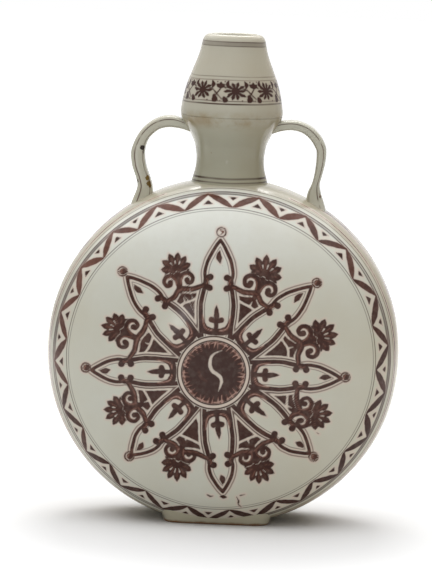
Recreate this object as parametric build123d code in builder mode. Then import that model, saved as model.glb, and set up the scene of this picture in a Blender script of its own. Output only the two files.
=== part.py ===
"""Pilgrim flask (moon flask): a hollow glazed ceramic bottle with two strap handles.

The flask stands upright, with +Z up and its painted face looking along -Y. The origin lies
on the table, under the middle of the foot. Seven clay pieces are joined with slip before
firing: two dished halves of the body, a foot ring, the lower neck, the bulb with its mouth,
and two strap handles. Nothing on it moves. All lengths are in millimetres.
"""
import math
import os
from build123d import *

# Body: a round disc, thick in the middle, made of two dished halves
body_radius = 108.2
body_half_depth = 57.0
body_wall = 5.5
body_fullness = 2.8         # exponent of the section: 2 is an ellipse, more is squarer
profile_shares = (0.45, 0.72, 0.87, 0.955, 0.99)

# Foot: a low ring on a rounded rectangle, into which the body's underside is set
foot_length = 67.0
foot_depth = 64.0
foot_corner = 15.0
foot_wall = 8.5
foot_blank_height = 13.5    # before its top is hollowed to the body
foot_flare = 1.5            # how much further out the blank's top stands than its bottom
foot_edge = 0.8             # rounding of the edge that stands on the table
body_sink = 4.7             # how far the full disc would reach below the table
underside_height = 2.0      # the body's flat underside over the table

# Neck and bulb: radii of the outer wall, and heights over the top of the body
neck_wall = 5.0
neck_root_radius = 24.4
neck_waist_radius = 20.85
neck_waist_rise = 10.6
bulb_radius = 31.5
bulb_rise = 39.8
bulb_joint_rise = 38.6      # where the bulb is joined to the lower neck
lip_radius = 19.2
lip_rise = 85.3
mouth_rise = 88.3
mouth_radius = 12.5
mouth_depth = 9.0
lip_rounding = 2.6
# Stations between waist and bulb, and between bulb and lip, as shares of both spans
under_bulb_shares = ((0.17, 0.385), (0.62, 0.68))
upper_bulb_shares = ((0.764, 0.36), (0.398, 0.631), (0.171, 0.795))

# Handles: straps that rise from under the bulb and come down on the shoulder. A reach is
# measured from the flask's axis, a rise from the top of the body and a lift from the body's
# rim just below, each to the middle of the strap.
strap_width = 14.0
strap_foot_width = 19.0
left_strap_thickness = 7.8
right_strap_thickness = 6.0
left_reach = 57.2
right_reach = 56.0
strap_reach_rise = 15.4
strap_root_rise = 29.9
strap_crown_rise = 33.3
strap_waist_inset = 4.4     # how far the narrow place over the foot stands in from the reach
strap_waist_lift = 10.3
strap_ankle_outset = 4.4    # how far past the reach the outer face runs out onto the shoulder
strap_ankle_lift = 5.4
strap_toe_outset = 16.4
strap_heel_inset = 12.0
strap_sink = 0.7            # how far toe and heel would go into the body before the fitting
strap_crown_share = 0.5     # where the crown lies between the neck and the reach
strap_bend_shares = (0.76, 0.58)
# From root to waist: which way the outer face looks, in degrees, and the share of the thickness
strap_facings = (108, 90, 40, 0, -12)
strap_thickness_shares = (1.12, 1.02, 1.0, 1.0, 0.98)
strap_rounding_share = 0.25

slip_joint = 0.12           # the layer of slip between pieces that meet on a curve
cut_overrun = 6.0           # how far a cutting shape runs past what it cuts

# Places that follow from the sizes above
centre_height = body_radius - body_sink
crown_height = centre_height + body_radius
floor_height = underside_height + body_wall
throat_radius = neck_waist_radius - neck_wall
waist_height = crown_height + neck_waist_rise
bulb_height = crown_height + bulb_rise
lip_height = crown_height + lip_rise
top_height = crown_height + mouth_rise
joint_height = crown_height + bulb_joint_rise

os.makedirs("parts", exist_ok=True)


def section_depth(share, half_depth):
    """Depth of the body's section where the radius is the given share of the full one."""
    return half_depth * (1 - share**body_fullness) ** (1 / body_fullness)


def body_section(radius, half_depth):
    """One quarter of the body's section, from the middle of the face to the rim."""
    points = [(radius * share, -section_depth(share, half_depth)) for share in profile_shares]
    Spline((0, -half_depth), *points, (radius, 0), tangents=((1, 0), (0, 1)))
    Line((radius, 0), (0, 0))
    Line((0, 0), (0, -half_depth))


def body_solid(radius, half_depth, bottom):
    """The solid disc with the body's section, cut flat at the given height."""
    with BuildPart() as disc:
        with BuildSketch(Plane.XY.offset(centre_height)):
            with BuildLine():
                body_section(radius, half_depth)
            make_face()
        revolve(axis=Axis((0, 0, centre_height), (0, 1, 0)))
        mirror(about=Plane.XZ)
        split(bisect_by=Plane.XY.offset(bottom), keep=Keep.TOP)
    return disc.part


def between(low, high, shares):
    """A point whose two shares are measured from the low point to the high one."""
    return (low[0] + (high[0] - low[0]) * shares[0], low[1] + (high[1] - low[1]) * shares[1])


def neck_outline(inset):
    """Outline of the solid neck and bulb, with the wall's outer face set in by the given inset."""
    root = (neck_root_radius - inset, crown_height - body_wall - cut_overrun)
    waist = (neck_waist_radius - inset, waist_height)
    bulb = (bulb_radius - inset, bulb_height)
    lip = (lip_radius - inset, lip_height)
    lower = [between(waist, bulb, shares) for shares in under_bulb_shares]
    upper = [between(lip, bulb, (shares[0], 1 - shares[1])) for shares in upper_bulb_shares]
    Spline(root, waist, tangents=((-1, 2), (0, 1)))
    Spline(waist, *lower, bulb, tangents=((0, 1), (0, 1)))
    Spline(bulb, *upper, lip, tangents=((0, 1), (-1, 5)))
    Polyline(lip, (lip[0], top_height), (0, top_height), (0, root[1]), root)


def bore_outline():
    """Outline of the hollow in neck and bulb, which runs out through body wall and mouth."""
    root = (throat_radius, crown_height - body_wall - 2 * cut_overrun)
    waist = (throat_radius, waist_height)
    bulb = (bulb_radius - neck_wall, bulb_height)
    mouth = (mouth_radius, top_height - mouth_depth)
    lower = [between(waist, bulb, shares) for shares in under_bulb_shares]
    upper = [between(mouth, bulb, (shares[0], 1 - shares[1])) for shares in upper_bulb_shares]
    end_height = top_height + cut_overrun
    Line(root, waist)
    Spline(waist, *lower, bulb, tangents=((0, 1), (0, 1)))
    Spline(bulb, *upper, mouth, tangents=((0, 1), (0, 1)))
    Polyline(mouth, (mouth_radius, end_height), (0, end_height), (0, root[1]), root)


# The hollow inside the body, with a level floor over the foot
cavity = body_solid(body_radius - body_wall, body_half_depth - body_wall, floor_height)

# Shape that the neck, the straps and the foot are fitted to: the body with its layer of slip
seat_radius = body_radius + slip_joint
seat_half_depth = body_half_depth + slip_joint
body_seat = body_solid(seat_radius, seat_half_depth, underside_height - slip_joint)

# The closed body before it is parted at its seam
with BuildPart() as body:
    add(body_solid(body_radius, body_half_depth, underside_height))
    add(cavity, mode=Mode.SUBTRACT)
    with BuildSketch(Plane.XY.offset(centre_height)):
        Circle(throat_radius)
    extrude(amount=body_radius + cut_overrun, mode=Mode.SUBTRACT)

# Front half: carries the painted face
with BuildPart() as front_half:
    add(body.part)
    split(bisect_by=Plane.XZ, keep=Keep.TOP)

# Rear half: meets the front one on the flat seam
with BuildPart() as rear_half:
    mirror(front_half.part, about=Plane.XZ)

# Foot ring: its bottom edge stands on the table and its top is hollowed to the body
with BuildPart() as foot_ring:
    with BuildSketch():
        RectangleRounded(foot_length, foot_depth, foot_corner)
    extrude(amount=foot_blank_height, taper=-math.degrees(math.atan(foot_flare / foot_blank_height)))
    fillet(foot_ring.faces().sort_by(Axis.Z)[0].edges(), radius=foot_edge)
    with BuildSketch():
        RectangleRounded(foot_length - 2 * foot_wall, foot_depth - 2 * foot_wall, foot_corner - foot_wall)
    extrude(amount=foot_blank_height, mode=Mode.SUBTRACT)
    add(body_seat, mode=Mode.SUBTRACT)

# The thrown neck and bulb in one, with the mouth open at the top
with BuildPart() as thrown_neck:
    with BuildSketch(Plane.XZ):
        with BuildLine():
            neck_outline(0)
        make_face()
    revolve(axis=Axis.Z)
    rim_edges = thrown_neck.faces().sort_by(Axis.Z)[-1].edges()
    fillet(rim_edges, radius=lip_rounding)

# Shape that the straps' roots are fitted to: the neck with its layer of slip
with BuildPart() as neck_seat:
    with BuildSketch(Plane.XZ):
        with BuildLine():
            neck_outline(-slip_joint)
        make_face()
    revolve(axis=Axis.Z)

# The bore of the neck and bulb, which narrows to the mouth
with BuildPart() as neck_bore:
    with BuildSketch(Plane.XZ):
        with BuildLine():
            bore_outline()
        make_face()
    revolve(axis=Axis.Z)

# Lower neck: stands on the body round its opening and opens into the bulb
with BuildPart() as lower_neck:
    add(thrown_neck.part)
    add(neck_bore.part, mode=Mode.SUBTRACT)
    add(body_seat, mode=Mode.SUBTRACT)
    split(bisect_by=Plane.XY.offset(joint_height), keep=Keep.BOTTOM)

# Bulb: the swelling over the neck, with its thick rounded lip
with BuildPart() as neck_bulb:
    add(thrown_neck.part)
    add(neck_bore.part, mode=Mode.SUBTRACT)
    split(bisect_by=Plane.XY.offset(joint_height), keep=Keep.TOP)
    inner_rim = neck_bulb.faces().sort_by(Axis.Z)[-1].edges().sort_by(SortBy.RADIUS)[0]
    fillet(inner_rim, radius=lip_rounding)


def over_body(spread, lift):
    """The point at the given distance from the flask's axis that lies that far over the body."""
    return (spread, centre_height + math.sqrt(body_radius**2 - spread**2) + lift)


def strap_outline(reach, thickness):
    """Points of the strap's outer and inner faces, from root to foot, on the right-hand side."""
    root = (neck_waist_radius, crown_height + strap_root_rise)
    crown_spread = neck_waist_radius + (reach - neck_waist_radius) * strap_crown_share
    crown = (crown_spread, crown_height + strap_crown_rise)
    widest = (reach, crown_height + strap_reach_rise)
    bend = between((crown[0], widest[1]), (widest[0], crown[1]), strap_bend_shares)
    waist = over_body(reach - strap_waist_inset, strap_waist_lift)
    middles = (root, crown, bend, widest, waist)
    outer = []
    inner = []
    for (spread, height), facing, share in zip(middles, strap_facings, strap_thickness_shares):
        out = thickness * share / 2 * math.cos(math.radians(facing))
        up = thickness * share / 2 * math.sin(math.radians(facing))
        outer.append((spread + out, height + up))
        inner.append((spread - out, height - up))
    outer.append(over_body(reach + strap_ankle_outset, strap_ankle_lift))
    outer.append(over_body(reach + strap_toe_outset, -strap_sink))
    inner.append(over_body(reach - strap_heel_inset, -strap_sink))
    return outer, inner


def strap(side, reach, thickness):
    """A strap handle on one side: side is -1 for the left one and 1 for the right one."""
    outer, inner = [[(side * spread, height) for spread, height in points]
                    for points in strap_outline(reach, thickness)]
    with BuildPart() as handle:
        with BuildSketch(Plane.XZ.offset(-strap_foot_width / 2)):
            with BuildLine():
                Spline(*outer, tangents=((side * 3, 1), (side * 1, -1)))
                Spline(*inner, tangents=((side * 3, 1), (side * -3, -2)))
                Line(outer[0], inner[0])
                Line(outer[-1], inner[-1])
            make_face()
        extrude(amount=strap_foot_width)
        with BuildSketch(Plane.YZ):
            with BuildLine():
                foot = (strap_foot_width / 2, outer[-1][1] - cut_overrun)
                crown = (strap_width / 2, crown_height + strap_crown_rise + cut_overrun)
                Spline(foot, crown, tangents=((-1, 6), (0, 1)))
                Polyline(crown, (0, crown[1]), (0, foot[1]), foot)
            make_face()
            mirror(about=Plane.YZ)
        extrude(amount=side * (reach + strap_toe_outset), mode=Mode.INTERSECT)
        long_edges = handle.edges().sort_by(SortBy.LENGTH)[-4:]
        fillet(long_edges, radius=thickness * strap_rounding_share)
        add(neck_seat.part, mode=Mode.SUBTRACT)
        add(body_seat, mode=Mode.SUBTRACT)
    return handle


left_handle = strap(-1, left_reach, left_strap_thickness)
right_handle = strap(1, right_reach, right_strap_thickness)

front_half.part.label = "front_half"
rear_half.part.label = "rear_half"
foot_ring.part.label = "foot_ring"
lower_neck.part.label = "lower_neck"
neck_bulb.part.label = "neck_bulb"
left_handle.part.label = "left_handle"
right_handle.part.label = "right_handle"
for piece in (front_half, rear_half, foot_ring, lower_neck, neck_bulb, left_handle, right_handle):
    export_step(piece.part, f"parts/{piece.part.label}.step")
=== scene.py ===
"""Scene for the pilgrim flask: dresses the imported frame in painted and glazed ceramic.

Lengths in the classes are millimetres and become metres when a mesh is made. +Z is up, the
painted face looks along -Y, and the origin lies on the table under the middle of the foot.
The copper-red painting is done by a brush that keeps, for each point of a surface, the signed
distance to the nearest painted edge. A material turns that distance into paint.
"""
import logging
import math
from dataclasses import dataclass, field
from enum import Enum
from typing import Sequence

import bpy
import numpy as np
from mathutils import Matrix


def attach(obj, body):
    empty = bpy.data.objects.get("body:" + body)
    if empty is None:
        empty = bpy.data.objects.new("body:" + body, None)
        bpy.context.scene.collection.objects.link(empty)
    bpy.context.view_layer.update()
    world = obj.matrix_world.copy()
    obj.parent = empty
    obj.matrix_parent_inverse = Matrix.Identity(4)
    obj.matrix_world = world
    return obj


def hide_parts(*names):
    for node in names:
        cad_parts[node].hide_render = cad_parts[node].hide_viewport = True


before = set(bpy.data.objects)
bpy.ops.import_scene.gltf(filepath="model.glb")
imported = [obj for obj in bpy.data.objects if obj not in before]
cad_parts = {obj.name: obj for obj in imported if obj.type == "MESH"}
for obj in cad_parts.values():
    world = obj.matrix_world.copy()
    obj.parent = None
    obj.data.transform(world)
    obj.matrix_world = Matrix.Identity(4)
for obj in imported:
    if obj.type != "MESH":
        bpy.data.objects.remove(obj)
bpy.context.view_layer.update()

log = logging.getLogger("pilgrim_flask")
Point = tuple[float, float]
Pairs = Sequence[Point]
Strokes = tuple[tuple[Pairs, Sequence[float], float], ...]    # points, half-widths and load of each
Tone = tuple[float, float, float]
Socket = bpy.types.NodeSocket
Sockets = bpy.types.NodeOutputs

MM = 0.001
PIXEL_MM = 0.617    # millimetres on the flask that one pixel of the photograph spans
FAR_OFF = 1e4       # added to a coordinate to put a point out of the brush's reach
BARE_INK = 3.0      # distance to the paint that stands for bare ground
SIDES = (-1, 1)     # both sides of a middle line
ROUND_TURNS = tuple(np.linspace(0, math.tau, 13))    # bearings of a closed circle's points


class Side(Enum):
    """Which half of the body, or which handle, a piece belongs to."""

    FRONT = "front"
    REAR = "rear"
    LEFT = "left"
    RIGHT = "right"


# Camera, lines and brush


@dataclass(frozen=True)
class PhotoCamera:
    """The camera of the photograph, fitted to the flask's outline and painted rings."""

    azimuth: float = 2.359
    elevation: float = 6.917
    roll: float = 1.976
    focal_pixels: float = 4051.19
    distance: float = 2506.7
    target: tuple[float, float, float] = (-5.878, 0.0, 138.92)
    width_pixels: float = 432.0
    height_pixels: float = 588.0
    sensor: float = 36.0
    far_limit: float = 50.0

    def axes(self) -> tuple[np.ndarray, np.ndarray, np.ndarray]:
        """Turns the camera's three angles into directions.

        Returns:
            Unit vectors to the image's right, to its top, and back to the camera.
        """
        azimuth, elevation, roll = (math.radians(v) for v in (self.azimuth, self.elevation, self.roll))
        back = np.array([math.sin(azimuth) * math.cos(elevation),
                         -math.cos(azimuth) * math.cos(elevation), math.sin(elevation)])
        level = np.array([math.cos(azimuth), math.sin(azimuth), 0.0])
        upright = np.cross(back, level)
        right = level * math.cos(roll) + upright * math.sin(roll)
        return right, upright * math.cos(roll) - level * math.sin(roll), back

    def pixels(self, points: np.ndarray) -> tuple[np.ndarray, np.ndarray]:
        """Where points fall in the photograph.

        Args:
            points: array of points in millimetres, one per row.
        Returns:
            Pixels across and down, as two arrays.
        """
        right, top, back = self.axes()
        seen = points - (np.array(self.target) + back * self.distance)
        reach = -(seen @ back)
        return (self.width_pixels / 2 + self.focal_pixels * (seen @ right) / reach,
                self.height_pixels / 2 - self.focal_pixels * (seen @ top) / reach)

    def build(self) -> bpy.types.Object:
        """Sets up the scene's camera.

        Returns:
            The camera's object.
        """
        data = bpy.data.cameras.new("photo_camera")
        data.lens = self.sensor * self.focal_pixels / self.height_pixels
        data.sensor_width = self.sensor
        data.clip_end = self.far_limit
        camera = bpy.data.objects.new("photo_camera", data)
        axes = self.axes()
        camera.matrix_world = placed_matrix(axes, (np.array(self.target) + axes[2] * self.distance) * MM)
        bpy.context.collection.objects.link(camera)
        bpy.context.scene.camera = camera
        return camera


def placed_matrix(axes: Sequence[np.ndarray], place: Sequence[float]) -> Matrix:
    """The matrix of a camera or lamp from its right, top and back directions and its place."""
    rows = [[axis[k] for axis in axes] + [place[k]] for k in range(3)]
    return Matrix(rows + [[0, 0, 0, 1]])


def curve(points: Pairs, steps: int = 7) -> np.ndarray:
    """A smooth line through points: on each span, the cubic whose end slopes are half the
    difference of the neighbouring points.

    Args:
        points: the points to pass through, in order.
        steps: how many points each span gets.
    Returns:
        The line's points, one per row.
    """
    given = np.asarray(points, float)
    if len(given) < 3:
        return given
    ends = np.vstack([2 * given[0] - given[1], given, 2 * given[-1] - given[-2]])
    share = np.linspace(0, 1, steps, endpoint=False)[None, :, None]
    before, start, stop, after = (ends[k:len(ends) - 3 + k, None, :] for k in range(4))
    run = 0.5 * (2 * start + (stop - before) * share
                 + (2 * before - 5 * start + 4 * stop - after) * share**2
                 + (3 * start - before - 3 * stop + after) * share**3)
    return np.vstack([run.reshape(-1, given.shape[1]), given[-1:]])


def run_along(line: np.ndarray) -> np.ndarray:
    """The length along a flat line up to each of its points."""
    return np.concatenate([[0.0], np.cumsum(np.hypot(*np.diff(line, axis=0).T))])


def points_at(line: np.ndarray, places: np.ndarray) -> np.ndarray:
    """The points of a flat line at the given lengths along it."""
    run = run_along(line)
    return np.stack([np.interp(places, run, line[:, k]) for k in range(2)], axis=-1)


def mirrored_loop(half: Pairs) -> np.ndarray:
    """A closed outline from its half on one side of the line where the second number is 0."""
    side = np.asarray(half, float)
    return np.vstack([side, side[::-1] * (1, -1)])


def spoke(middle: Point, turn: float, radii: Sequence[float], squash: float = 1.0) -> list[Point]:
    """Points on a ray from a middle at the given radii, with its rise times the squash."""
    return [(middle[0] + r * math.cos(turn), middle[1] + r * squash * math.sin(turn)) for r in radii]


def circle(middle: Point, radius: float, turns: Sequence[float] = ROUND_TURNS) -> list[Point]:
    """Points on a circle at the given bearings."""
    return [(middle[0] + radius * math.cos(t), middle[1] + radius * math.sin(t)) for t in turns]


def segment_distance(x: np.ndarray, y: np.ndarray, start: np.ndarray,
                     stop: np.ndarray) -> tuple[np.ndarray, np.ndarray]:
    """Distance from points to a straight piece of line.

    Args:
        x: the points' first coordinates.
        y: the points' second coordinates.
        start: the piece's first end.
        stop: its other end.
    Returns:
        The distances, and how far along the piece the nearest place lies, from 0 to 1.
    """
    (ax, ay), (dx, dy) = start, stop - start
    share = np.clip(((x - ax) * dx + (y - ay) * dy) / max(dx * dx + dy * dy, 1e-12), 0, 1)
    return np.hypot(x - ax - share * dx, y - ay - share * dy), share


def edge_distance(across: np.ndarray, along: np.ndarray, corners: np.ndarray) -> np.ndarray:
    """Signed distance to a closed outline: the distance to the nearest of its sides, with the
    sign from counting the sides that a level line crosses.

    Args:
        across: the points' first coordinates.
        along: the points' second coordinates.
        corners: the outline's corners, one per row.
    Returns:
        One distance per point, negative inside.
    """
    best = np.full(across.shape, np.inf)
    inside = np.zeros(across.shape, bool)
    for start, stop in zip(corners, np.roll(corners, -1, axis=0)):
        best = np.minimum(best, segment_distance(across, along, start, stop)[0])
        (ax, ay), (bx, by) = start, stop
        if ay != by:
            crosses = (ay > along) != (by > along)
            inside ^= crosses & (across < ax + (along - ay) * (bx - ax) / (by - ay))
    return np.where(inside, -best, best)


class Brush:
    """Paints on a cloud of points with flat coordinates, as signed distances to the paint."""

    def __init__(self, across: np.ndarray, along: np.ndarray, reach: float = BARE_INK) -> None:
        """Starts with bare ground.

        Args:
            across: each point's first flat coordinate.
            along: each point's second flat coordinate.
            reach: distance beyond which the paint isn't followed.
        """
        self.across, self.along, self.reach = across, along, reach
        self.ink = np.full(across.shape, reach)
        self.load = np.full(across.shape, 0.85)

    def near(self, corners: np.ndarray, margin: float) -> np.ndarray:
        """Finds the points in the corners' box.

        Args:
            corners: points, one per row.
            margin: how far the box is grown.
        Returns:
            The points' indices.
        """
        low, high = corners.min(axis=0) - margin, corners.max(axis=0) + margin
        return np.flatnonzero((self.across > low[0]) & (self.across < high[0])
                              & (self.along > low[1]) & (self.along < high[1]))

    def lay(self, where: np.ndarray, distance: np.ndarray, load: float) -> None:
        """Joins new paint to the old, and sets its load wherever it is the nearer one.

        Args:
            where: indices of the points it may reach.
            distance: their signed distances to the new paint.
            load: how thick the paint is, from 0 to about 1.
        """
        nearer = distance < self.ink[where]
        self.load[where[nearer]] = load
        self.ink[where] = np.minimum(self.ink[where], distance)

    def line_distance(self, points: np.ndarray, widths: Sequence[float]) -> tuple[np.ndarray, np.ndarray]:
        """Distance to a tapered line: to its middle line, less the half-width there.

        Args:
            points: the middle line's points.
            widths: half-widths, spread evenly from start to end.
        Returns:
            Indices of the points near the line, and their distances.
        """
        halves = np.interp(np.linspace(0, 1, len(points)), np.linspace(0, 1, len(widths)), widths)
        where = self.near(points, self.reach + max(widths))
        x, y = self.across[where], self.along[where]
        best = np.full(x.shape, np.inf)
        for start, stop, half, next_half in zip(points[:-1], points[1:], halves[:-1], halves[1:]):
            away, share = segment_distance(x, y, start, stop)
            best = np.minimum(best, away - (half + (next_half - half) * share))
        return where, best

    def stroke(self, points: Pairs, widths: Sequence[float] = (1.0,), load: float = 0.7) -> None:
        """A stroke along a smooth line, with half-widths spread evenly from start to end."""
        self.lay(*self.line_distance(curve(points), widths), load)

    def dot(self, place: Point, radius: float, load: float = 0.7) -> None:
        """A round touch of the brush."""
        self.lay(*self.line_distance(np.array([place, place], float), (radius,)), load)

    def patch(self, corners: Pairs, load: float = 0.7, limit: np.ndarray | None = None) -> None:
        """Fills an outline.

        Args:
            corners: the outline's corners.
            load: how thick the paint is.
            limit: one value per point; the paint stays where it is negative.
        """
        shape = np.asarray(corners, float)
        where = self.near(shape, self.reach)
        distance = edge_distance(self.across[where], self.along[where], shape)
        if limit is not None:
            distance = np.maximum(distance, limit[where])
        self.lay(where, distance, load)

    def lift(self, points: Pairs, widths: Sequence[float] = (0.7,)) -> None:
        """A line left bare, or scratched out of wet paint."""
        where, distance = self.line_distance(curve(points), widths)
        self.ink[where] = np.maximum(self.ink[where], -distance)

    def thin(self, points: Pairs, widths: Sequence[float], load: float) -> None:
        """Thins the paint along a line, down to the given load."""
        where, distance = self.line_distance(curve(points), widths)
        self.load[where] += (load - self.load[where]) * np.clip(0.5 - distance, 0, 1)


class Drawing:
    """Turns points of a small drawing, as steps ahead and aside, into flat coordinates."""

    def __init__(self, origin: Point, ahead: Point, scale: float = 1.0) -> None:
        """Sets the drawing's place.

        Args:
            origin: where the drawing's own origin lies.
            ahead: the way that its first steps go, of any length.
            scale: how much larger it becomes.
        """
        length = math.hypot(*ahead)
        self.origin, self.scale = origin, scale
        self.dx, self.dy = ahead[0] / length, ahead[1] / length

    def at(self, points: Pairs, side: int = 1) -> list[Point]:
        """Flat coordinates of points given as (ahead, aside), or of their mirror points."""
        return [(self.origin[0] + self.scale * (a * self.dx - b * side * self.dy),
                 self.origin[1] + self.scale * (a * self.dy + b * side * self.dx)) for a, b in points]

    def spot(self, ahead: float, aside: float = 0.0) -> Point:
        """Flat coordinates of one point."""
        return self.at([(ahead, aside)])[0]


# The painted rosette


class Finial(Enum):
    """How the small round at a petal's tip is painted."""

    DOT = "a dot in a ring"
    CURL = "a curl in a ring"
    SMEAR = "one short smear"


@dataclass(frozen=True)
class Petal:
    """One pointed petal of the rosette, in the photograph's pixels."""

    tip: Point
    waist: float
    half_width: float
    finial: Point
    kind: Finial = Finial.DOT


@dataclass(frozen=True)
class Palmette:
    """One lotus palmette between two petals, in the photograph's pixels."""

    fan: Point
    root: Point
    size: float


@dataclass(frozen=True)
class Rosette:
    """The eight-petalled rosette with its medallion. The small drawings of a petal and of a
    palmette are made once, and each is stretched to its landmarks. The tip, waist and breadth
    of the drawn petal are fields, and so is the way from a palmette's foot to its fan. A
    petal's outline and its crescent are given by one half."""

    centre: Point = (213.6, 372.7)
    medallion: float = 36.2
    drawn_waist: float = 89.8
    drawn_tip: float = 132.9
    drawn_half_width: float = 16.4
    drawn_fan: float = 23.668
    petal_reach: float = 12.0
    petals: tuple[Petal, ...] = (
        Petal((220.7, 240.0), 89.8, 16.4, (221.5, 232.2), Finial.CURL),
        Petal((311.4, 286.4), 86.6, 15.2, (316.9, 283.0)),
        Petal((341.4, 378.6), 87.1, 13.9, (345.4, 377.2)),
        Petal((310.0, 453.6), 91.6, 15.2, (313.5, 456.7)),
        Petal((222.9, 492.1), 88.0, 14.0, (223.2, 496.8), Finial.SMEAR),
        Petal((131.4, 455.0), 85.0, 14.8, (129.4, 456.2)),
        Petal((91.4, 370.0), 87.9, 13.3, (85.9, 367.5)),
        Petal((127.1, 276.4), 86.9, 15.6, (122.5, 271.4)),
    )
    palmettes: tuple[Palmette, ...] = (
        Palmette((265.5, 273.0), (256.5, 294.0), 1.04),
        Palmette((320.7, 336.4), (301.6, 344.2), 1.03),
        Palmette((316.4, 415.0), (299.8, 411.6), 0.93),
        Palmette((258.6, 467.9), (253.6, 452.0), 0.95),
        Palmette((176.4, 465.0), (180.7, 451.0), 0.94),
        Palmette((119.3, 410.0), (136.0, 405.9), 0.92),
        Palmette((117.1, 327.9), (137.0, 338.9), 0.93),
        Palmette((176.4, 267.9), (180.0, 289.3), 0.92),
    )
    outline: Pairs = (
        (30.0, 13.6), (38.0, 14.4), (45.7, 15.1), (52.7, 15.7), (60.7, 16.25), (67.7, 16.4), (74.0, 15.7),
        (80.0, 14.6), (86.0, 13.3), (89.8, 12.9), (93.0, 13.4), (97.5, 14.1), (103.0, 13.8), (110.7, 12.0),
        (117.7, 9.0), (124.0, 5.7), (129.0, 2.7), (132.9, 0.0))
    crescent: Pairs = ((44.2, 0.0), (44.4, 4.4), (46.4, 9.0), (50.6, 11.6), (56.0, 13.4), (61.0, 15.2),
                       (50.0, 15.0), (39.0, 14.6), (37.6, 7.0), (37.2, 0.0))
    fan_petals: Pairs = ((-106, 14.5), (-76, 17.5), (-46, 19.5), (-16, 20.5),
                         (13, 20.0), (42, 18.5), (72, 17.0), (102, 14.5))
    volute: Pairs = ((-1.0, 0.6), (6.0, 1.2), (11.4, 2.2), (15.9, 6.4), (15.6, 12.4),
                     (10.8, 15.8), (5.8, 13.6), (6.0, 9.6), (9.0, 9.2))
    double_curl: Pairs = (
        (222.2, 350.4), (216.0, 352.8), (211.6, 356.4), (210.0, 362.4), (210.6, 367.6), (212.8, 371.4),
        (217.2, 374.4), (220.6, 377.6), (221.4, 382.0), (220.2, 386.6), (218.4, 391.2))
    slips: tuple[Pairs, ...] = (
        ((207.0, 494.6), (210.0, 496.2), (213.0, 496.0)), ((240.0, 495.6), (245.0, 494.4)),
        ((236.6, 497.0), (238.6, 501.0), (238.2, 504.0), (241.0, 507.0)), ((316.6, 432.6), (319.0, 434.0)))
    scratches: tuple[Pairs, ...] = (
        ((184.5, 296.0), (193.0, 304.0)), ((186.5, 291.0), (197.0, 301.0)),
        ((190.0, 289.0), (195.5, 312.0)), ((188.0, 300.0), (197.0, 318.0)))

    def stretched(self, petal: Petal, points: Pairs, side: int = 1) -> list[Point]:
        """Places points of the petal drawing: the length is stretched to the waist and the tip,
        and the breadth to the petal's own.

        Args:
            petal: the petal to stretch to.
            points: the drawing's points, as (ahead, aside).
            side: -1 for their mirror points.
        Returns:
            Flat coordinates.
        """
        ahead = (petal.tip[0] - self.centre[0], petal.tip[1] - self.centre[1])
        root, beyond, tip = 30.0, 20.0, math.hypot(*ahead)
        lengths = np.interp([a for a, _ in points],
                            [0, root, self.drawn_waist, self.drawn_tip, self.drawn_tip + beyond],
                            [0, root, petal.waist, tip, tip + beyond])
        breadth = petal.half_width / self.drawn_half_width
        return Drawing(self.centre, ahead).at([(a, b * breadth) for a, (_, b) in zip(lengths, points)], side)

    def petal_distance(self, across: np.ndarray, along: np.ndarray) -> np.ndarray:
        """Signed distance to the nearest petal's thick outline, negative inside.

        Args:
            across: the points' pixels across.
            along: the points' pixels down.
        Returns:
            One distance per point, never beyond the petal's reach.
        """
        reach = self.petal_reach
        best = np.full(across.shape, reach)
        loop = mirrored_loop(curve(self.outline, 5))
        points = Brush(across, along)
        for petal in self.petals:
            corners = np.asarray(self.stretched(petal, loop))
            where = points.near(corners, reach)
            best[where] = np.minimum(best[where], edge_distance(across[where], along[where], corners))
        return np.clip(best, -reach, reach)

    def paint(self, brush: Brush, petal_distance: np.ndarray) -> None:
        """Paints the whole rosette.

        Args:
            brush: works in the photograph's pixels.
            petal_distance: each point's distance to the nearest petal.
        """
        for k, (palmette, petal) in enumerate(zip(self.palmettes, self.petals)):
            self.paint_gap(brush, petal, self.petals[(k + 1) % len(self.petals)], palmette, petal_distance)
        for petal in self.petals:
            self.paint_petal(brush, petal)
        for palmette in self.palmettes:
            self.paint_palmette(brush, palmette)
        self.paint_medallion(brush)
        for slip in self.slips:
            brush.stroke(slip, (0.4, 0.9, 0.4), 0.95)
        for scratch in self.scratches:
            brush.lift(scratch, (0.25, 0.6, 0.25))

    def paint_gap(self, brush: Brush, left: Petal, right: Petal, palmette: Palmette,
                  petal_distance: np.ndarray) -> None:
        """The curved band between two petals, and the dark patches below it.

        Args:
            brush: works in the photograph's pixels.
            left: the petal before the gap.
            right: the petal after it.
            palmette: the palmette that stands on the band.
            petal_distance: each point's distance to the nearest petal.
        """
        root = palmette.root
        inward = Drawing(root, (self.centre[0] - root[0], self.centre[1] - root[1]))
        start = self.stretched(left, [(87.0, 14.5)])[0]
        stop = self.stretched(right, [(87.0, -14.5)])[0]

        def sunk(depth: float) -> list[Point]:
            """The band's line, moved towards the rosette's centre.

            Args:
                depth: how far it is moved.
            Returns:
                Its five points.
            """
            sag = 2.0
            halfway = [((x + root[0]) / 2 + inward.dx * sag, (y + root[1]) / 2 + inward.dy * sag)
                       for x, y in (start, stop)]
            return [(x + inward.dx * depth, y + inward.dy * depth)
                    for x, y in (start, halfway[0], root, halfway[1], stop)]

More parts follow.
